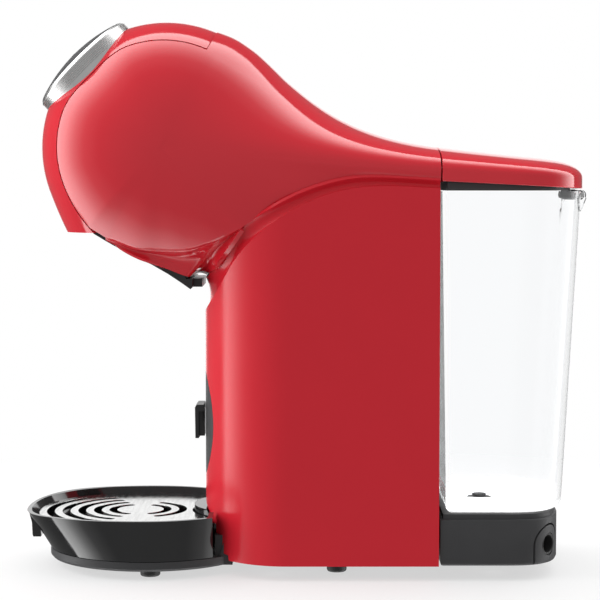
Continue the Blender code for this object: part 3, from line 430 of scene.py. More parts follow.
def make_surfaces():
    """One material for each slot; sizes of patches and grain are in millimetres."""
    red = (0.70, 0.021, 0.036)
    recipes = [
        Recipe("red_head", red, 0.09).set("IOR", 1.5).mottle(40, 0.012).smudge(30, 0.015)
        .grain(3.0, 0.0008),
        Recipe("red_column", red, 0.2).set("IOR", 1.5).set("Specular IOR Level", 0.26)
        .mottle(35, 0.015).smudge(25, 0.03).grain(0.5, 0.002),
        Recipe("black_gloss", (0.012, 0.012, 0.0125), 0.08).set("IOR", 1.5).mottle(20, 0.1)
        .smudge(12, 0.03).grain(2.5, 0.001),
        Recipe("black_matte", (0.014, 0.014, 0.015), 0.34).mottle(15, 0.12).smudge(8, 0.05)
        .grain(0.45, 0.012),
        Recipe("dark_grey", (0.055, 0.055, 0.057), 0.45).set("Specular IOR Level", 0.2)
        .mottle(18, 0.05).smudge(10, 0.05).grain(0.5, 0.02),
        Recipe("frame_grey", (0.15, 0.15, 0.16), 0.5).mottle(15, 0.06).smudge(9, 0.05)
        .grain(0.6, 0.015),
        Recipe("dial_metal", (0.66, 0.66, 0.655), 0.3, 1.0).mottle(6.0, 0.03)
        .smudge(5.0, 0.03).grain(2.0, 0.001),
        Recipe("grid_steel", (0.66, 0.66, 0.655), 0.16, 1.0).mottle(6.0, 0.04)
        .smudge(1.5, 0.05, (0.08, 1.0, 1.0)).grain(0.4, 0.003, 2.0, (0.05, 1.0, 1.0)),
        Recipe("steel", (0.56, 0.56, 0.56), 0.25, 1.0).mottle(3.0, 0.06).smudge(1.5, 0.06)
        .grain(0.4, 0.004),
        # the tank's foot and its upward-facing faces get a painted white glow as well as frosting
        Recipe("tank_clear", (0.975, 0.98, 0.985), 0.02).set("IOR", 1.2)
        .frost_and_painted_glow().smudge(25, 0.012).grain(14.0, 0.012),
        Recipe("rubber_black", (0.02, 0.02, 0.02), 0.62).mottle(6, 0.2).smudge(4, 0.08)
        .grain(0.3, 0.02),
        Recipe("seal_rubber", (0.42, 0.13, 0.06), 0.55).mottle(5, 0.1).smudge(4, 0.08)
        .grain(0.3, 0.015),
        Recipe("alloy", (0.56, 0.56, 0.57), 0.42, 1.0).mottle(4, 0.1).smudge(3, 0.1)
        .grain(0.7, 0.03),
        Recipe("pump_metal", (0.3, 0.3, 0.32), 0.35, 0.6).mottle(6, 0.08).smudge(5, 0.06)
        .grain(0.6, 0.01),
        Recipe("board_green", (0.02, 0.13, 0.05), 0.35).mottle(1.5, 0.35).smudge(3, 0.1)
        .grain(0.8, 0.02),
        Recipe("hose_pale", (0.72, 0.72, 0.68), 0.35).set("Subsurface Weight", 0.2)
        .mottle(8, 0.06).smudge(6, 0.06).grain(1.0, 0.01),
        Recipe("white_plastic", (0.74, 0.74, 0.71), 0.4).mottle(8, 0.04).smudge(6, 0.05)
        .grain(0.5, 0.01),
    ]
    return {recipe.name: recipe.material for recipe in recipes}


surfaces = make_surfaces()

# ---------------------------------------------------------------- head

SIDEWAYS = Matrix.Rotation(math.pi / 2, 3, "Y")     # turns Z to X
HEAD_Y, HEAD_Z = joint_place("dial_turn")[1:]
HINGE_Y, HINGE_Z = joint_place("visor_hinge")[1:]
HEAD_HALF = corners("head_shell")[1].x
TAIL_END_Y = corners("head_shell")[1].y - 0.1
VISOR_BOTTOM_Z = corners("visor")[0].z
HEAD_RADIUS = 64.0
CROWN_END = math.pi / 2 - 1e-9     # a hair short of the middle plane
TAIL_HALF = 53.5
TAIL_POWER = 2.4          # the head's section is a plain ellipse, and it gets squarer along the tail
TAIL_RIBS = 34
TAIL_BLEND = 0.3          # share of the tail over which its lower edge moves out to the arch
SEAM_HALF = 31.0          # half the width of the lifting strip
SEAM_GAP = 0.7
SEAM_LAP = 0.2
PARTING_ANGLE = 23.7      # where the lifting strip ends, behind the head's highest point
PARTING_GAP = 0.4
BACK_ANGLE = 31.0         # where the tail begins
CHIN_ANGLE = -137.3       # where the cheeks end at the front
FLARE_ANGLE = 110.0
FLARE_SPAN = 19.6
FLARE = 2.7
SEAM_FLARE = 0.9
HUMP = 1.5                # rise of the rear crown behind the lifting strip
HUMP_START = 0.5
HUMP_LEAN = (0.55, 0.83)
HUMP_END = 0.33           # share of the tail's length where the rise has gone
HUMP_FADE = 0.2
DIAL_TILT = 45.0
FLAT_ANGLE = 27.0
FLAT = 2.7
UNDERSIDE_POWER = 2.2
SHELL_WALL = 2.2
VISOR_WALL = 2.4
SCOOP_DEPTH = 3.0

# Lines of the head and its tail, as (y, z), or as (y, z, x) where they lie beside the middle.
SHOULDER = ((-36.0, 267.6), (-3.0, 248.0), (6.0, 221.0), (TAIL_END_Y, 213.3))
MEDIAL = ((HEAD_Y, HEAD_Z), (HEAD_Y, HEAD_Z), (-12.0, 206.0), (TAIL_END_Y, 201.0))
CREASE = ((-98.0, 168.0, 31.0), (-83.0, 162.2, 33.0), (-70.0, 161.2, 35.0), (-57.0, 161.8, 38.5),
          (-43.0, 166.6, 44.0), (-30.0, 173.2, 48.0))
ARCH_TOP = ((-30.0, 173.2), (-7.8, 187.2), (12.6, 195.0), (31.0, 197.9), (TAIL_END_Y, 196.3))
ARCH_HALF = 51.5
NECK_EDGE = ((-36.0, 164.5, 44.0), (-41.5, 157.0, 37.0), (-46.0, 150.5, 25.0), (-48.5, 147.5, 0.0))
RIM = ((-98.0, 166.6, 29.8), (-85.0, 159.7, 29.8), (-73.5, 154.8, 29.5), (-62.0, 150.0, 28.8),
       (-57.5, 148.4, 27.5), (-56.6, 148.2, 24.0), (-56.3, 148.1, 19.0), (-56.1, 148.1, 13.0),
       (-56.0, 148.1, 6.0), (-56.0, 148.1, 0.0))


def head_reach(angle, flare=FLARE):
    """Radius of the head's outline; it flares a little to the front tip and is flatter under the dial."""
    beyond = max(abs(angle) - FLARE_ANGLE, 0.0) / FLARE_SPAN
    aside = min(abs(angle + DIAL_TILT) / FLAT_ANGLE, 1.0)
    return HEAD_RADIUS + flare * beyond ** 2 - FLAT * math.cos(math.pi / 2 * aside) ** 2


def bulb_point(angle, reach):
    """A point at a reach from the head's centre; the angle is in degrees from vertical, rear positive."""
    a = math.radians(angle)
    return HEAD_Y + reach * math.sin(a), HEAD_Z + reach * math.cos(a)


def spoke(root, tip, full, power, phis):
    """Points from the side to the crown: full width at the root, none at the tip."""
    made = []
    for phi in phis:
        share = math.sin(phi) ** (2 / power)
        half = full * max(math.cos(phi), 0.0) ** (2 / power)
        made.append((half, root[0] + (tip[0] - root[0]) * share, root[1] + (tip[1] - root[1]) * share))
    return made


def seam_phi(half):
    """Angle on a spoke of the head that lies at a distance from the middle plane."""
    return math.acos(half / HEAD_HALF)


def lower_spoke(root, low, full, half, phis):
    """Points from the side down to the underside's edge, which is nearer the middle."""
    made = []
    for phi in phis:
        q = math.sin(phi) / math.sin(phis[-1])
        made.append((full - (full - half) * q ** UNDERSIDE_POWER, root[0] + (low[0] - root[0]) * q,
                     root[1] + (low[1] - root[1]) * q))
    return made


def tail_ribs(count):
    """Crown point, root, lower point, both half widths and section power for each rib of the tail."""
    made = []
    for s in steps(0, 1, count):
        y = ARCH_TOP[0][0] + (TAIL_END_Y - ARCH_TOP[0][0]) * s
        half = CREASE[-1][2] + (ARCH_HALF - CREASE[-1][2]) * min(s / TAIL_BLEND, 1.0)
        made.append((bezier(*SHOULDER, s), bezier(*MEDIAL, s), (y, smooth_line(ARCH_TOP, y)),
                     HEAD_HALF + (TAIL_HALF - HEAD_HALF) * s, half, 2.0 + (TAIL_POWER - 2.0) * s))
    return made


def scoop_grid(upper, lower, rows, taper):
    """A hollowed patch between two curves; taper lets the hollow grow from the patch's first point."""
    grid = []
    for i, (a, b) in enumerate(zip(upper, lower)):
        depth = SCOOP_DEPTH * min(i / taper, 1.0)
        row = []
        for k in steps(0, 1, rows):
            sag = depth * math.sin(math.pi * k)
            p = a + (b - a) * k
            row.append((max(p.x - sag * min(p.x / 12, 1), 0.0), p.y, p.z + sag * 0.4))
        grid.append(row)
    return grid


def as_points(places):
    """The head's lines are kept as (y, z, x)."""
    return [(x, y, z) for y, z, x in places]


def blended(near, far):
    """A row that leaves one row at its first point and has joined the other well before its last."""
    row = []
    for k, (a, b) in enumerate(zip(near, far)):
        share = min(k / (len(near) - 1) * 1.6, 1.0)
        row.append(tuple(p + (q - p) * share for p, q in zip(a, b)))
    return row


def raised(root, tip, full, power, phis, rise):
    """A spoke whose crown is a little higher."""
    higher = (tip[0] + rise * HUMP_LEAN[0], tip[1] + rise * HUMP_LEAN[1])
    return blended(spoke(root, tip, full, power, phis), spoke(root, higher, full, power, phis))


def parting_reach(x):
    """Distance from the hinge's axis to the parting line, at a distance from the middle."""
    crown = HEAD_RADIUS * math.sqrt(1 - (x / HEAD_HALF) ** 2)
    return math.dist(bulb_point(PARTING_ANGLE, crown), (HINGE_Y, HINGE_Z))


def bulb_grids(side, top):
    """Rows over one cheek, and over one half of the crown behind the lifting strip."""
    centre = (HEAD_Y, HEAD_Z)
    front = steps(CHIN_ANGLE, PARTING_ANGLE, 80)
    back = steps(PARTING_ANGLE, BACK_ANGLE, 4)
    cheek = [spoke(centre, bulb_point(a, head_reach(a, SEAM_FLARE)), HEAD_HALF, 2.0, side)
             for a in front + back[1:]]
    rises = steps(HUMP_START, HUMP, 4)
    crown = [raised(centre, bulb_point(a, head_reach(a)), HEAD_HALF, 2.0, top, rise)
             for a, rise in zip(back, rises)]
    return cheek, crown


def hinge_clearance():
    """Room for the lifting strip's rear end, which swings about the hinge."""
    edge = SEAM_HALF + SEAM_LAP
    profile = [(0, -edge)]
    for x in steps(-edge, edge, 24):
        profile.append((parting_reach(x) + PARTING_GAP, x))
    profile.append((0, edge))
    return turned("hinge_clearance", profile, (0, HINGE_Y, HINGE_Z), SIDEWAYS, 96)


def seam_lips():
    """A thick sector that trims both cheeks to flat lips beside the lifting strip."""
    outer = [bulb_point(a, HEAD_RADIUS + 10.0) for a in steps(-139, 14, 40)]
    inner = [bulb_point(a, HEAD_RADIUS - 20.0) for a in steps(14, -139, 40)]
    edge = SEAM_HALF + SEAM_GAP / 2 - 0.05
    return prism("seam_lips", "X", outer + inner, -edge, edge)


def make_head_shell():
    centre = (HEAD_Y, HEAD_Z)
    seam = seam_phi(SEAM_HALF + SEAM_GAP / 2)
    side = steps(0, seam, 26)
    top = steps(seam, CROWN_END, 16)
    cheek, crown = bulb_grids(side, top)
    ribs = tail_ribs(TAIL_RIBS)
    for k, (tip, root, _, full, _, power) in enumerate(ribs[1:], 1):
        cheek.append(spoke(root, tip, full, power, side))
        rise = HUMP * min(max((HUMP_END - k / TAIL_RIBS) / HUMP_FADE, 0.0), 1.0)
        crown.append(raised(root, tip, full, power, top, rise))
    lower = [lower_spoke(root, low, full, half, side) for _, root, low, full, half, _ in reversed(ribs)]
    crease = through(as_points(CREASE), 50)
    neck = through(as_points(CREASE[-1:] + NECK_EDGE), 40)
    rim = through(as_points(RIM), 90)
    lower += [lower_spoke(centre, (p.y, p.z), HEAD_HALF, p.x, side) for p in reversed(crease[:-1])]
    lower.append(cheek[0])
    grids = [cheek, crown, lower, scoop_grid(crease + neck[1:], rim, 10, 14)]
    grids += [mirrored(grid) for grid in grids]
    shell = sheets("head_shell_moulding", grids, (0, -30, 205), 50)
    thicken(shell, SHELL_WALL)
    cut(shell, hinge_clearance(), seam_lips())
    return finish(shell, "head_shell", 50, (0.35, 2, 55))


def visor_row(angle, phis):
    """A row of the strip's points from its edge to the crown; only the crown flares fully."""
    near = spoke((HEAD_Y, HEAD_Z), bulb_point(angle, head_reach(angle, SEAM_FLARE)), HEAD_HALF, 2.0, phis)
    far = spoke((HEAD_Y, HEAD_Z), bulb_point(angle, head_reach(angle)), HEAD_HALF, 2.0, phis)
    return blended(near, far)


def make_visor():
    """The lifting strip, whose rear end tucks in under the crown on an arc about the hinge."""
    edge = SEAM_HALF - SEAM_GAP / 2
    top = steps(seam_phi(edge), CROWN_END, 18)
    rows = [visor_row(angle, top) for angle in steps(CHIN_ANGLE - 3.7, PARTING_ANGLE, 84)]
    hinge = Vector((HINGE_Y, HINGE_Z))
    last = rows[-1]
    for lean in steps(3, 24, 7):
        turn = Matrix.Rotation(math.radians(-lean), 2)
        row = []
        for x, y, z in last:
            tucked = hinge + turn @ (Vector((y, z)) - hinge)
            row.append((x, tucked.x, tucked.y))
        rows.append(row)
    visor = sheets("visor_moulding", [rows, mirrored(rows)], (0, HEAD_Y, HEAD_Z), 50)
    thicken(visor, VISOR_WALL)
    trim = box("visor_trim", (-40, -160, 140), (40, -90, VISOR_BOTTOM_Z))
    hole = rod("visor_hole", RING_RADIUS + RING_GAP, 40, 80, DIAL_AT, DIAL_TURN, 128)
    cut(visor, trim, hole)
    return finish(visor, "visor", 50, (0.35, 2, 55))


# ---------------------------------------------------------------- dial

DIAL_TURN = Matrix.Rotation(math.radians(DIAL_TILT), 3, "X")
DIAL_AT = (0, HEAD_Y, HEAD_Z)
RING_RADIUS = 29.3
RING_GAP = 0.42
RING_BORE = 20.6
RING_FOOT = 48.1
RING_TOP = 60.5
GROOVES = 6
GROOVE_PITCH = 0.86
GROOVE_DEPTH = 0.25
DOME_RADIUS = 81.0
DOME_EDGE = 27.2
DOME_EDGE_HEIGHT = 62.2
MARK_CIRCLE = 7.0


def make_dial_ring():
    """The ring, with fine grooves round its side and a thin lip round the dome."""
    profile = [(RING_BORE, RING_FOOT), (RING_RADIUS, RING_FOOT), (RING_RADIUS, 54.2)]
    for k in range(GROOVES):
        h = 54.7 + GROOVE_PITCH * k
        profile += [(RING_RADIUS, h), (RING_RADIUS - GROOVE_DEPTH, h + 0.14),
                    (RING_RADIUS - GROOVE_DEPTH, h + 0.34), (RING_RADIUS, h + 0.48)]
    profile += [(RING_RADIUS + 0.05, 60.0), (RING_RADIUS, 60.35), (28.25, 61.7), (28.05, 61.85),
                (27.75, 61.75), (27.6, RING_TOP), (RING_BORE, RING_TOP)]
    return show(turned("dial_ring_turned", profile, DIAL_AT, DIAL_TURN, 160, 22), "dial_ring")


def dome_height(radius):
    """Height of the button's dome along the dial's axis."""
    drop = math.sqrt(DOME_RADIUS ** 2 - DOME_EDGE ** 2)
    return DOME_EDGE_HEIGHT - drop + math.sqrt(DOME_RADIUS ** 2 - radius ** 2)


def make_marks():
    """A small pale ring with eight dots round it, plain generic marks on the dome."""
    marks = []
    for k in range(8):
        a = math.tau * k / 8
        size = 0.9 if k % 2 else 1.3
        high = dome_height(MARK_CIRCLE)
        dot = rod("dot", size, high - 0.4, high + 0.05, segments=20)
        across = Vector((MARK_CIRCLE * math.cos(a), MARK_CIRCLE * math.sin(a), 0))
        dot.data.transform(Matrix.Translation(across * MM))
        marks.append(dot)
    low, high = dome_height(2.8) - 0.4, dome_height(2.8) + 0.05
    middle = turned("mark_ring", [(2.4, low), (3.2, low), (3.2, high), (2.4, high)], segments=48)
    join(middle, *marks)
    settle(middle)
    middle.data.transform(Matrix.Translation(Vector(DIAL_AT) * MM) @ DIAL_TURN.to_4x4())
    return show(middle, "start_button", slot="white_plastic")


def make_button():
    """A low dome that fills the ring."""
    profile = [(0, 61.6), (DOME_EDGE, 61.6), (DOME_EDGE, 62.0)]
    profile += [(r, dome_height(r)) for r in reversed(steps(0, DOME_EDGE - 0.25, 18))]
    return show(turned("start_button_dome", profile, DIAL_AT, DIAL_TURN, 128), "start_button")


# ---------------------------------------------------------------- column

COLUMN_LOW, COLUMN_HIGH = corners("column_shell")
COLUMN_HALF = COLUMN_HIGH.x
COLUMN_FRONT = COLUMN_LOW.y
COLUMN_REAR = COLUMN_HIGH.y
COLUMN_BOTTOM = COLUMN_LOW.z
COLUMN_ROUND_Y = -8.0
COLUMN_WALL = 2.5
INSERT_HALF = 25.0
INSERT_HALF_HEIGHT = 27.6
INSERT_GAP = 0.25
INSERT_REACH = (-60, -20)
NECK_INSET = 0.5
NECK_HOLLOW = 2.3
NECK_WALL = 1.6
COLUMN_TOP_LINE = ((-50.0, 130.0), (-42.4, 142.5), (-32.0, 159.5), (-17.0, 174.1), (1.4, 185.3),
                   (19.8, 191.6), (38.7, 193.5), (66.5, 192.4))
NECK_TOP_LINE = ((-48.5, 147.4), (-46.0, 150.4), (-41.5, 156.8), (-36.0, 164.2), (-30.0, 172.8),
                 (-7.8, 187.0), (12.6, 194.8), (31.0, 197.7), (66.5, 196.2))
COLUMN_FOOT_LINE = ((-50.0, 33.0), (-45.4, 24.6), (-43.6, 24.0), (-43.2, 10.6), (-37.4, 10.2),
                    (-36.9, COLUMN_BOTTOM), (COLUMN_REAR, COLUMN_BOTTOM))


def straight_line(points, x):
    """Height of a line of straight stretches through points sorted by their first coordinate."""
    if x <= points[0][0]:
        return points[0][1]
    for (x0, y0), (x1, y1) in zip(points, points[1:]):
        if x <= x1:
            return y0 + (y1 - y0) * (x - x0) / (x1 - x0)
    return points[-1][1]


def column_point(inset, y):
    """Right half of the column's plan: a half ellipse in front, straight sides behind."""
    half = COLUMN_HALF - inset
    if y >= COLUMN_ROUND_Y:
        return half, y
    deep = COLUMN_ROUND_Y - COLUMN_FRONT - inset
    share = min((COLUMN_ROUND_Y - y) / (COLUMN_ROUND_Y - COLUMN_FRONT), 1.0)
    return half * math.sqrt(max(1 - share ** 2, 0)), COLUMN_ROUND_Y - deep * share


def column_stations(low, high, breaks=()):
    """Places along Y for the column's rows, closer together in front, with one at each break."""
    deep = COLUMN_FRONT - COLUMN_ROUND_Y
    front = [COLUMN_ROUND_Y + deep * math.cos(math.radians(a)) for a in range(0, 90, 3)]
    rear = steps(COLUMN_ROUND_Y, COLUMN_REAR, 16)
    kept = sorted(front + rear + list(breaks))
    made = [kept[0]]
    for y in kept[1:]:
        if y - made[-1] > 0.12 or y in breaks:
            made.append(y)
    return [y for y in made if low <= y <= high]


def wall_band(name, wall, low_line, high_line, stations):
    """A wall that follows the column's plan, between a lower and an upper line of heights."""
    rings = []
    for side in (1, -1):
        part = []
        for y in stations if side > 0 else stations[1:]:
            (xo, yo), (xi, yi) = column_point(0, y), column_point(wall, y)
            low, high = low_line(y), high_line(y)
            part.append([(side * xo, yo, low), (side * xo, yo, high), (side * xi, yi, high),
                         (side * xi, yi, low)])
        rings = rings + part if side > 0 else part[::-1] + rings
    return loft(name, rings, 50)


def insert_outline(inset, count=96):
    """Round opening in the column's front, as (x, z)."""
    low, high = corners("column_insert")
    middle = (low.z + high.z) / 2
    return [((INSERT_HALF - inset) * math.cos(a), middle + (INSERT_HALF_HEIGHT - inset) * math.sin(a))
            for a in (math.tau * k / count for k in range(count))]


def make_column():
    breaks = [y for y, _ in COLUMN_FOOT_LINE[1:6]]
    shell = wall_band("column_moulding", COLUMN_WALL, lambda y: straight_line(COLUMN_FOOT_LINE, y),
                      lambda y: smooth_line(COLUMN_TOP_LINE, y),
                      column_stations(COLUMN_FRONT, COLUMN_REAR, breaks))
    cut(shell, prism("insert_opening", "Y", insert_outline(0.1), *INSERT_REACH))
    return finish(shell, "column_shell", 50, (0.7, 3, 50))


def make_insert():
    """The round cap in the column's front, bent like the column."""
    insert = wall_band("insert_cap", COLUMN_WALL, lambda y: 40.0, lambda y: 106.0,
                       column_stations(COLUMN_FRONT, INSERT_REACH[1]))
    disc = prism("insert_disc", "Y", insert_outline(0.1 + INSERT_GAP), *INSERT_REACH)
    boolean(insert, "INTERSECT", [disc])
    return finish(insert, "column_insert", 50, (0.5, 3, 50))


def make_neck_band():
    """The hollow band that follows the arch between the column and the head."""
    rows = []
    for y in column_stations(COLUMN_FRONT, COLUMN_REAR):
        low = smooth_line(COLUMN_TOP_LINE, y) - 1.2
        high = smooth_line(NECK_TOP_LINE, y) + 0.1
        row = []
        for k in steps(0, 1, 12):
            x, place = column_point(NECK_INSET * (1 - k) + NECK_HOLLOW * math.sin(math.pi * k) ** 0.8, y)
            row.append((x, place, low + (high - low) * k))
        rows.append(row)
    band = sheets("neck_cove", [rows, mirrored(rows)], (0, 20, 150), 50)
    thicken(band, NECK_WALL)
    return finish(band, "neck_band", 50)


# ---------------------------------------------------------------- tray, grid and foot plate

TRAY_LOW, TRAY_HIGH = corners("drip_tray")
DISC_LOW, DISC_HIGH = corners("foot_plate")
DISC_Y = -78.0
DISC_RADIUS = DISC_HIGH.x
RIM_RADIUS = TRAY_HIGH.x
RIM_REACH = 63.5
RIM_POWER = 2.4
TRAY_WALL = 2.2
TRAY_REAR_WALL = 2.4
TRAY_OVER = 1.02             # the bowl's cutter ends a little above the rim
NOSE_START_Y = -118.0
NOSE_LENGTH = 23.0
NOSE_DIP = 1.5
TAB_HALF = 9.0
TAB_PROFILE = ((-140.2, 26.0), (-139.0, 21.5), (-138.7, 15.0), (-138.3, 14.0), (-134.4, 14.0),
               (-134.1, 14.6), (-134.8, 20.0), (-131.0, 26.0))
HEEL_CUT_HALF = 28.0
HEEL_CUT_PROFILE = ((-49.6, 31.5), (-40, 31.5), (-40, 22.4), (-45.2, 22.4))
DECK_Y = -26.0               # middle of the round that keeps bowl and grid clear of the column
DECK_RADIUS = 30.0
GRID_GAP = 0.9
GRID_REAR_Y = -57.0
SLOT_Y = -84.0
SLOT_HALF = 2.0
SLOT_RADII = (14, 22, 30, 38, 46)
HEEL_STEP_HALF = 34.0
HEEL_STEP_FRONT = -44.0
RISER_SPAN = (27.0, 35.0)
RISER_PROFILE = ((-42.5, 7.0), (-39.6, 16.0), (-36.2, 14.8), (-35.9, 5.4), (-42.5, 5.4))


def tray_outline(half, reach, power, rear, rear_count=16, count=72):
    """Plan of the tray: a superellipse in front, a round behind, cut flat at the rear."""
    right = arc(0, DISC_Y, half, math.degrees(math.asin((rear - DISC_Y) / half)), 0, rear_count)
    for k in range(1, count + 1):
        a = math.pi / 2 * k / count
        x = half * max(math.cos(a), 0.0) ** (2 / power)
        right.append((x, DISC_Y - reach * math.sin(a) ** (2 / power)))
    right[-1] = (0.0, right[-1][1])
    return right + [(-x, y) for x, y in reversed(right[:-1])]


def at_height(outline, z):
    return [(x, y, z) for x, y in outline]


def tray_plan(share, wall, rear):
    """Outline of the tray inside a wall, at a share of the way from foot to rim."""
    foot = tray_outline(DISC_RADIUS - wall, DISC_RADIUS - wall, 2.0, rear)
    rim = tray_outline(RIM_RADIUS - wall, RIM_REACH - wall, RIM_POWER, rear)
    return [(a + (c - a) * share, b + (d - b) * share) for (a, b), (c, d) in zip(foot, rim)]


def tray_ring(share, wall, rear):
    """That outline at its height; the rim dips a little at the nose."""
    made = []
    for x, y in tray_plan(share, wall, rear):
        dip = NOSE_DIP * min(max((NOSE_START_Y - y) / NOSE_LENGTH, 0.0), 1.0) ** 2
        made.append((x, y, TRAY_LOW.z + (TRAY_HIGH.z - TRAY_LOW.z - dip) * share))
    return made


def make_tray():
    rear = TRAY_HIGH.y
    room_rear = rear - TRAY_REAR_WALL
    tray = loft("tray_moulding", [tray_ring(s, 0, rear) for s in steps(0, 1, 6)])
    floor = TRAY_WALL / (TRAY_HIGH.z - TRAY_LOW.z)
    bowl = loft("tray_bowl", [tray_ring(s, TRAY_WALL, room_rear) for s in steps(floor, TRAY_OVER, 5)])
    cut(bowl, rod("tray_deck", DECK_RADIUS, 0, 60, (0, DECK_Y, 0), segments=96))
    settle(bowl)
    cut(tray, bowl)
    tab = prism("tray_tab", "X", TAB_PROFILE, -TAB_HALF, TAB_HALF)
    cut(tab, loft("tab_bowl", [tray_ring(s, TRAY_WALL, room_rear) for s in (floor, TRAY_OVER)]))
    settle(tab)
    join(tray, tab)
    cut(tray, prism("tray_heel_cut", "X", HEEL_CUT_PROFILE, -HEEL_CUT_HALF, HEEL_CUT_HALF))
    return finish(tray, "drip_tray", 35, (0.7, 3, 42))


def make_grid():
    """A thin sheet that fits the bowl, with arc slots where they lie on it."""
    low, high = corners("drip_grid")
    share = (low.z - TRAY_LOW.z - TRAY_WALL) / (TRAY_HIGH.z - TRAY_LOW.z - TRAY_WALL)
    grid = prism("grid_sheet", "Z", tray_plan(share, TRAY_WALL + GRID_GAP, high.y), low.z, high.z)
    cutters = [rod("grid_heel", DECK_RADIUS + 1.0, 0, 60, (0, DECK_Y, 0), segments=96)]
    for radius in SLOT_RADII:
        spans = ((205, 335), (28, 152)) if radius < 40 else ((225, 315),)
        for start, end in spans:
            slot = slot_outline(radius, SLOT_HALF, start, end)
            if max(y for _, y in slot) < GRID_REAR_Y:
                cutters.append(prism("grid_slot", "Z", slot, 20, 30))
    cut(grid, *cutters)
    return finish(grid, "drip_grid", 35, (0.25, 2, 40))


def slot_outline(radius, half, start, end):
    """An arc-shaped slot with round ends, centred under the outlet."""
    outer = arc(0, SLOT_Y, radius + half, start, end, 23)
    inner = arc(0, SLOT_Y, radius - half, end, start, 23)
    caps = []
    for angle, first in ((end, end), (start, start + 180)):
        a = math.radians(angle)
        cx, cy = radius * math.cos(a), SLOT_Y + radius * math.sin(a)
        caps.append(arc(cx, cy, half, first, first + 180, 6)[1:-1])
    return outer + caps[0] + inner + caps[1]


def make_foot_plate():
    """The disc under the tray, with a step and two risers at the column."""
    low, high = DISC_LOW.z, TRAY_LOW.z - 0.3
    rear = DISC_HIGH.y
    profile = [(0, low), (DISC_RADIUS - 1.0, low), (DISC_RADIUS, low + 1.2), (DISC_RADIUS, high), (0, high)]
    disc = turned("foot_plate_disc", profile, (0, DISC_Y, 0), segments=128)
    cut(disc, box("disc_trim", (-60, rear, 0), (60, 0, 20)))
    near, far = RISER_SPAN
    half, top = HEEL_STEP_HALF, DISC_HIGH.z - 0.1
    step = box("heel_step", (-half, HEEL_STEP_FRONT, low), (half, rear, top))
    join(disc, step, prism("riser_right", "X", RISER_PROFILE, near, far),
         prism("riser_left", "X", RISER_PROFILE, -far, -near))
    return finish(disc, "foot_plate", 35, (0.4, 2, 42))


# ---------------------------------------------------------------- rear base, tank and lid

VALVE_Y = (corners("tank_dock")[0].y + corners("tank_dock")[1].y) / 2


def d_outline(half, front, middle, rear, power, count=40):
    """Plan with a flat front, straight sides and a rounded rear, as (x, y)."""
    right = [(half, front), (half, (front + middle) / 2)]
    for k in range(count + 1):
        a = math.pi / 2 * k / count
        x = half * math.cos(a) ** (2 / power)
        right.append((x, middle + (rear - middle) * math.sin(a) ** (2 / power)))
    return right + [(-x, y) for x, y in reversed(right[:-1])]


CORD_PLACE = Vector((43.2, 121.0, 17.0))
CORD_TURN = math.radians(52.0)
ARCH_OUTER = 10.4
ARCH_INNER = 9.5


def cord_frame():
    """Matrix whose Z looks out of the rounded rear corner, with X level."""
    return Matrix.Rotation(CORD_TURN, 3, "Z") @ Matrix.Rotation(math.pi / 2, 3, "Y")


def cord_piece(name, profile, segments=64):
    return turned(name, profile, CORD_PLACE, cord_frame(), segments)


def cord_groove():
    """Arch-shaped groove round the cord outlet, open at the bottom."""
    out = Vector((math.cos(CORD_TURN), math.sin(CORD_TURN), 0))
    level = Vector((-math.sin(CORD_TURN), math.cos(CORD_TURN), 0))
    outline = []
    for radius, order in ((ARCH_OUTER, 1), (ARCH_INNER, -1)):
        path = [(radius, -12.0)] + arc(0, 0, radius, 0, 180, 24) + [(-radius, -12.0)]
        outline += path[::order]
    rings = []
    for depth in (-6.5, 4.0):
        rings.append([CORD_PLACE + level * u + Vector((0, 0, v)) + out * depth for u, v in outline])
    return loft("cord_groove", rings)


BASE_POWER = 3.4
BASE_ROUND_Y = 96.0
BASE_ROOM = (49.4, 70.0, BASE_ROUND_Y, 125.6, BASE_POWER)
BASE_ROOM_TOP = 28.2
SUMP_RADIUS = 16.2
SUMP_GAP = 2.0
INLET_AT = (-2.5, 0, 15)


def make_rear_base():
    low, high = corners("rear_base")
    edges = ((1.6, low.z), (0.5, low.z + 0.4), (0, low.z + 1.5), (0, 30.0), (0.35, 30.4), (1.3, 30.5),
             (1.4, high.z))
    rings = []
    for inset, z in edges:
        plan = d_outline(high.x - inset, low.y + inset, BASE_ROUND_Y, high.y - inset, BASE_POWER)
        rings.append(at_height(plan, z))
    body = loft("rear_base_moulding", rings, 50)
    room = loft("rear_base_room", [at_height(d_outline(*BASE_ROOM), z) for z in (0, BASE_ROOM_TOP)])
    sump = rod("sump_opening", SUMP_RADIUS + SUMP_GAP, 20, 40, (0, VALVE_Y, 0))
    inlet = rod("inlet_opening", 5.5, 60, 72, INLET_AT, Matrix.Rotation(-math.pi / 2, 3, "X"))
    cut(body, room, sump, inlet, cord_piece("cord_opening", [(0, -8), (5.6, -8), (5.6, 8), (0, 8)]))
    cut(body, cord_groove())
    return finish(body, "rear_base", 50)


def make_gland():
    """The cord outlet's sleeve, flush with the base and dark inside."""
    profile = [(0, -5.5), (5.3, -5.5), (5.3, 0.2), (4.9, 0.4), (4.4, 0.0), (4.3, -4.6), (0, -4.6)]
    return show(cord_piece("cord_sleeve", profile), "cord_gland")


TANK_LOW, TANK_HIGH = corners("water_tank")
TANK_FLOOR = 33.3
TANK_TOP = 191.0
TANK_WALL = 2.0
TANK_POWER = 3.2
TANK_FOOT_PLAN = (51.0, 70.0, 98.0, 131.0)      # half width, front, start of the round, rear
TANK_RIM_PLAN = (52.0, 67.4, 104.0, 139.8)
LUG_STARTS = (-26, 22)
LUG_WIDTH = 4
LUG_RADIUS = 2.6
LUG_BORE = 1.55


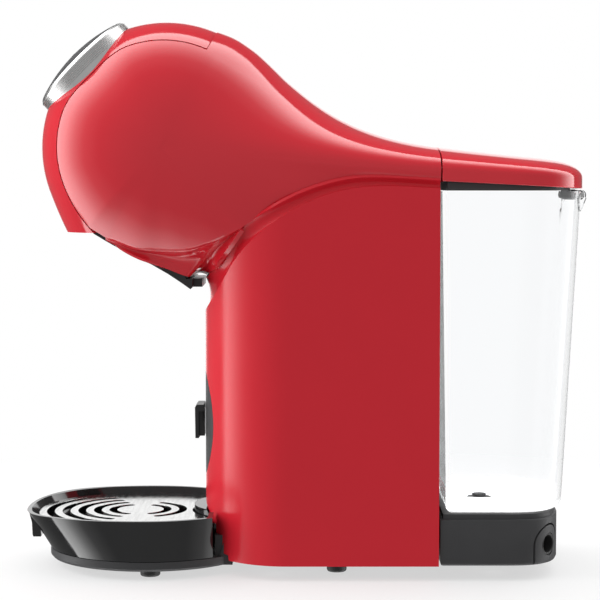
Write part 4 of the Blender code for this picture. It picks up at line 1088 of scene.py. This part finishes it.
def tank_ring(z, wall, pull):
    """Plan of the tank at a height, inside by a wall and pulled in by a bottom round."""
    s = (z - TANK_FLOOR) / (TANK_HIGH.z - 0.6 - TANK_FLOOR)
    half, front, middle, rear = (a + (b - a) * s for a, b in zip(TANK_FOOT_PLAN, TANK_RIM_PLAN))
    inset = wall + pull
    return at_height(d_outline(half - inset, front + inset, middle, rear - inset, TANK_POWER), z)


def tank_body(name, floor, top, wall, round_radius):
    rings = []
    for a in steps(0, 90, 6):
        pull = round_radius * (1 - math.sin(math.radians(a)))
        rings.append(tank_ring(floor + round_radius * (1 - math.cos(math.radians(a))), wall, pull))
    rings += [tank_ring(z, wall, 0) for z in steps(floor + round_radius, top, 8)[1:]]
    return loft(name, rings, 50)


def make_tank():
    hinge = joint_place("lid_hinge")
    tank = tank_body("tank_moulding", TANK_FLOOR, TANK_TOP, 0, 4.0)
    join(tank, rod("tank_sump", SUMP_RADIUS, TANK_LOW.z, 40, (0, VALVE_Y, 0)))
    lug = [(134.6, 176), (139.0, 182), (141.2, 187.5)]
    lug += arc(hinge.y, hinge.z, LUG_RADIUS, -20, 110, 10) + [(134.6, 190.8)]
    for x in LUG_STARTS:
        join(tank, prism("tank_lug", "X", lug, x, x + LUG_WIDTH))
    cut(tank, tank_body("tank_room", TANK_FLOOR + TANK_WALL, TANK_TOP + 0.5, TANK_WALL, 2.6),
        rod("sump_room", SUMP_RADIUS - TANK_WALL, TANK_LOW.z + TANK_WALL, 50, (0, VALVE_Y, 0)),
        rod("valve_hole", 6.7, 20, 40, (0, VALVE_Y, 0)),
        box("hinge_notch", (-20.6, 133, 185.8), (20.6, 143, 195)),
        rod("lug_bore", LUG_BORE, -30, 30, hinge, SIDEWAYS, 32))
    return finish(tank, "water_tank", 50)


LID_FRONT = TAIL_END_Y + 0.7
LID_REAR = corners("tank_lid")[1].y
LID_ROUND_Y = 100.0
LID_PLAN_POWER = 2.5
LID_CROWN_POWER = 2.4
LID_SPINE = 0.35             # how far the crown's ridge follows the lid's rear round
LID_WALL = 2.0
LID_TOP_LINE = ((LID_FRONT, 213.2), (86.4, 210.9), (102.8, 209.2), (119.2, 207.8), (LID_REAR, 206.4))
LID_WIDE_LINE = ((LID_FRONT, 201.0), (LID_REAR, 197.0))
LID_BOTTOM_LINE = ((LID_FRONT, 195.9), (LID_REAR, 192.1))


def lid_row(x, y):
    """Points from the lid's lower edge up its side and over to the ridge."""
    spine_y = min(y, LID_ROUND_Y + (y - LID_ROUND_Y) * LID_SPINE)
    low = straight_line(LID_BOTTOM_LINE, y)
    wide = straight_line(LID_WIDE_LINE, y)
    row = [(x, y, low + (wide - low) * k / 4) for k in range(4)]
    power = 2 / LID_CROWN_POWER
    for phi in steps(0, math.pi / 2, 26):
        out = max(math.cos(phi), 0) ** power
        py = spine_y + (y - spine_y) * out
        base = straight_line(LID_WIDE_LINE, py)
        peak = smooth_line(LID_TOP_LINE, py)
        row.append((x * out, py, base + (peak - base) * math.sin(phi) ** power))
    return row


def make_lid():
    outline = d_outline(TAIL_HALF, LID_FRONT, LID_ROUND_Y, LID_REAR, LID_PLAN_POWER, 36)
    lid = sheets("lid_moulding", [[lid_row(x, y) for x, y in outline]], (0, 100, 190), 50)
    thicken(lid, LID_WALL)
    return finish(lid, "tank_lid", 50, (0.4, 2, 55))


# ---------------------------------------------------------------- plainer CAD pieces, with rounded edges

def refine(node, radius, sharp=35.0):
    """A CAD node's own solid with its flat faces merged and its edges rounded."""
    obj = new_object(node + "_rounded", frame["nodes"][node].data.copy())
    work = bmesh.new()
    work.from_mesh(obj.data)
    bmesh.ops.remove_doubles(work, verts=work.verts, dist=0.000005)
    bmesh.ops.dissolve_limit(work, angle_limit=math.radians(0.5), verts=work.verts, edges=work.edges)
    work.to_mesh(obj.data)
    work.free()
    smooth(obj.data, sharp)
    if radius:
        soften(obj, radius, 2, sharp)
    return show(obj, node)


# Edge radius of each CAD piece that is shown as it is.
REFINED = {
    "outlet_chassis": 0.5, "tray_hook": 0.35, "capsule_holder": 0.5, "brew_frame": 0.4, "lid_liner": 0.4,
    "visor_frame": 0.25, "visor_liner": 0.3, "column_back_panel": 0.4, "bottom_cover": 0.4,
    "rear_cover": 0.4, "tank_dock": 0.3, "tank_valve_body": 0.25, "valve_plunger": 0.25, "dial_base": 0.2,
    "foot_front_left": 0.4, "foot_front_right": 0.4, "foot_middle_left": 0.4, "foot_middle_right": 0.4,
    "foot_rear": 0.4, "injector_plate": 0.3, "thermoblock": 0.5, "pump": 0.4, "inner_frame": 0.4,
    "lever_switch": 0.3,
}


def finish_plain_nodes():
    """Gives every CAD node that still shows its procedural material."""
    for name, obj in frame["nodes"].items():
        if obj.hide_render:
            continue
        smooth(obj.data)
        obj.data.materials.clear()
        obj.data.materials.append(surfaces[slot_of[name]])


# ---------------------------------------------------------------- stage, light and camera, in metres

BACKDROP_RADIUS = 9.0
BOX_RADIUS = 8.0
BOX_STRENGTH = 5.0
BOX_EDGE = (-0.51, -0.345)   # where along X the bright band begins: at the back, then in front and below
BOX_STOPS = ((0.0, 0.035), (0.245, 0.035), (0.257, 0.96), (0.375, 0.82), (0.485, 0.42), (0.575, 0.17),
             (0.705, 0.085), (1.0, 0.1))
BOX_FAR = 0.2                # level of the patch straight behind the object
FILL_STRENGTH = 1.55
FILL_STOPS = ((0.0, 1.0), (0.5, 1.0), (0.65, 0.65), (0.8, 0.38), (1.0, 0.25))
FLOOR_RADIUS = 6.0
FLOOR_GREY = (0.86, 0.86, 0.86)
CAMERA_AT = (0.950, -0.0015, 0.194)
CAMERA_DOWN = 3.552          # degrees
LENS = 111.15
SENSOR = 36.0


def emission(name, strength):
    material = bpy.data.materials.new(name)
    material.use_nodes = True
    tree = material.node_tree
    tree.nodes.clear()
    out = tree.nodes.new("ShaderNodeOutputMaterial")
    glow = tree.nodes.new("ShaderNodeEmission")
    glow.inputs["Strength"].default_value = strength
    tree.links.new(glow.outputs["Emission"], out.inputs["Surface"])
    return material, tree, glow


def ramp_node(tree, source, stops):
    """Colour ramp from pairs of place and grey level."""
    ramp = tree.nodes.new("ShaderNodeValToRGB")
    ramp.color_ramp.interpolation = "LINEAR"
    while len(ramp.color_ramp.elements) < len(stops):
        ramp.color_ramp.elements.new(0.5)
    for element, (place, level) in zip(ramp.color_ramp.elements, stops):
        element.position = place
        element.color = (level, level, level, 1.0)
    tree.links.new(source, ramp.inputs["Fac"])
    return ramp.outputs["Color"]


def add_dome(name, radius, material, **visible):
    mesh = bpy.data.meshes.new(name)
    work = bmesh.new()
    bmesh.ops.create_uvsphere(work, u_segments=64, v_segments=32, radius=radius)
    bmesh.ops.reverse_faces(work, faces=work.faces)
    work.to_mesh(mesh)
    work.free()
    mesh.shade_smooth()
    mesh.materials.append(material)
    dome = new_object(name, mesh)
    dome.visible_shadow = False
    for ray in ("camera", "diffuse", "glossy", "transmission", "volume_scatter"):
        setattr(dome, "visible_" + ray, visible.get(ray, False))
    return dome


def make_backdrop():
    material, _, _ = emission("backdrop_white", 1.0)
    return add_dome("backdrop", BACKDROP_RADIUS, material, camera=True, transmission=True)


def make_soft_boxes():
    """A ring of soft light round the object, seen only in its gloss: brightest a little behind it."""
    material, tree, glow = emission("soft_boxes", BOX_STRENGTH)
    place = tree.nodes.new("ShaderNodeTexCoord")
    direction = tree.nodes.new("ShaderNodeVectorMath")
    direction.operation = "NORMALIZE"
    tree.links.new(place.outputs["Object"], direction.inputs[0])
    way = split_xyz(tree, direction.outputs["Vector"])
    front = map_range(tree, way["Y"], -0.9, -0.15, 1.0, 0.0)
    below = map_range(tree, way["Z"], -0.3, 0.0, 1.0, 0.0)
    level_edge = map_range(tree, math_node(tree, "MAXIMUM", front, below), 0.0, 1.0, *BOX_EDGE)
    low_edge = map_range(tree, way["Z"], -0.5, -0.15, 0.1, 0.0)
    inside = math_node(tree, "SUBTRACT", way["X"], math_node(tree, "ADD", level_edge, low_edge))
    share = map_range(tree, inside, -0.5, 1.5, 0.0, 1.0)
    far = map_range(tree, way["X"], -0.95, -0.93, BOX_FAR, 0.0)
    total = math_node(tree, "ADD", ramp_node(tree, share, BOX_STOPS), far)
    tree.links.new(total, glow.inputs["Color"])
    return add_dome("soft_box_ring", BOX_RADIUS, material, glossy=True)


def make_world():
    """Broad daylight-like fill: weaker from the photographer's side and from below, stronger ahead."""
    world = bpy.data.worlds.new("studio")
    bpy.context.scene.world = world
    world.use_nodes = True
    tree = world.node_tree
    way = split_xyz(tree, tree.nodes.new("ShaderNodeTexCoord").outputs["Generated"])
    share = map_range(tree, way["X"], -1.0, 1.0, 0.0, 1.0)
    height = map_range(tree, way["Z"], -0.25, 0.0, 0.6, 1.0)
    ahead = map_range(tree, way["Y"], -0.85, -0.25, 2.0, 1.0)
    level = math_node(tree, "MULTIPLY", ramp_node(tree, share, FILL_STOPS), height)
    background = tree.nodes["Background"]
    tree.links.new(math_node(tree, "MULTIPLY", level, ahead), background.inputs["Color"])
    background.inputs["Strength"].default_value = FILL_STRENGTH
    world.cycles_visibility.camera = False
    world.cycles_visibility.glossy = False
    world.cycles_visibility.transmission = False
    return world


def make_floor():
    """A pale floor that catches a soft shadow near the object and fades to plain white farther out."""
    mesh = bpy.data.meshes.new("floor")
    work = bmesh.new()
    bmesh.ops.create_circle(work, cap_ends=True, segments=128, radius=FLOOR_RADIUS)
    work.to_mesh(mesh)
    work.free()
    floor = new_object("floor", mesh)
    recipe = Recipe("pale_floor", FLOOR_GREY, 0.6).set("Specular IOR Level", 0.1)
    reach = recipe.node("ShaderNodeVectorMath", operation="LENGTH")
    recipe.link(recipe.place, reach.inputs[0])
    glow = recipe.node("ShaderNodeEmission")
    mix = recipe.node("ShaderNodeMixShader")
    recipe.link(map_range(recipe.tree, reach.outputs["Value"], 0.15, 0.4, 0.6, 1.0), mix.inputs["Fac"])
    recipe.link(recipe.shader.outputs["BSDF"], mix.inputs[1])
    recipe.link(glow.outputs["Emission"], mix.inputs[2])
    recipe.link(mix.outputs["Shader"], recipe.tree.nodes["Material Output"].inputs["Surface"])
    mesh.materials.append(recipe.material)
    floor.visible_glossy = False
    floor.visible_diffuse = False
    return floor


def make_camera():
    data = bpy.data.cameras.new("camera")
    data.lens = LENS
    data.sensor_width = SENSOR
    data.clip_start = 0.05
    data.clip_end = 50.0
    camera = new_object("camera", data)
    camera.location = CAMERA_AT
    camera.rotation_euler = (math.radians(90 - CAMERA_DOWN), 0.0, math.radians(90))
    bpy.context.scene.camera = camera


make_camera()
make_world()
make_backdrop()
make_soft_boxes()
make_floor()

make_head_shell()
make_visor()
make_dial_ring()
make_button()
make_marks()
make_column()
make_insert()
make_neck_band()
make_tray()
make_grid()
make_foot_plate()
make_rear_base()
make_gland()
make_tank()
make_lid()
for node, radius in REFINED.items():
    refine(node, radius)
finish_plain_nodes()
bpy.context.scene.view_settings.view_transform = "Standard"
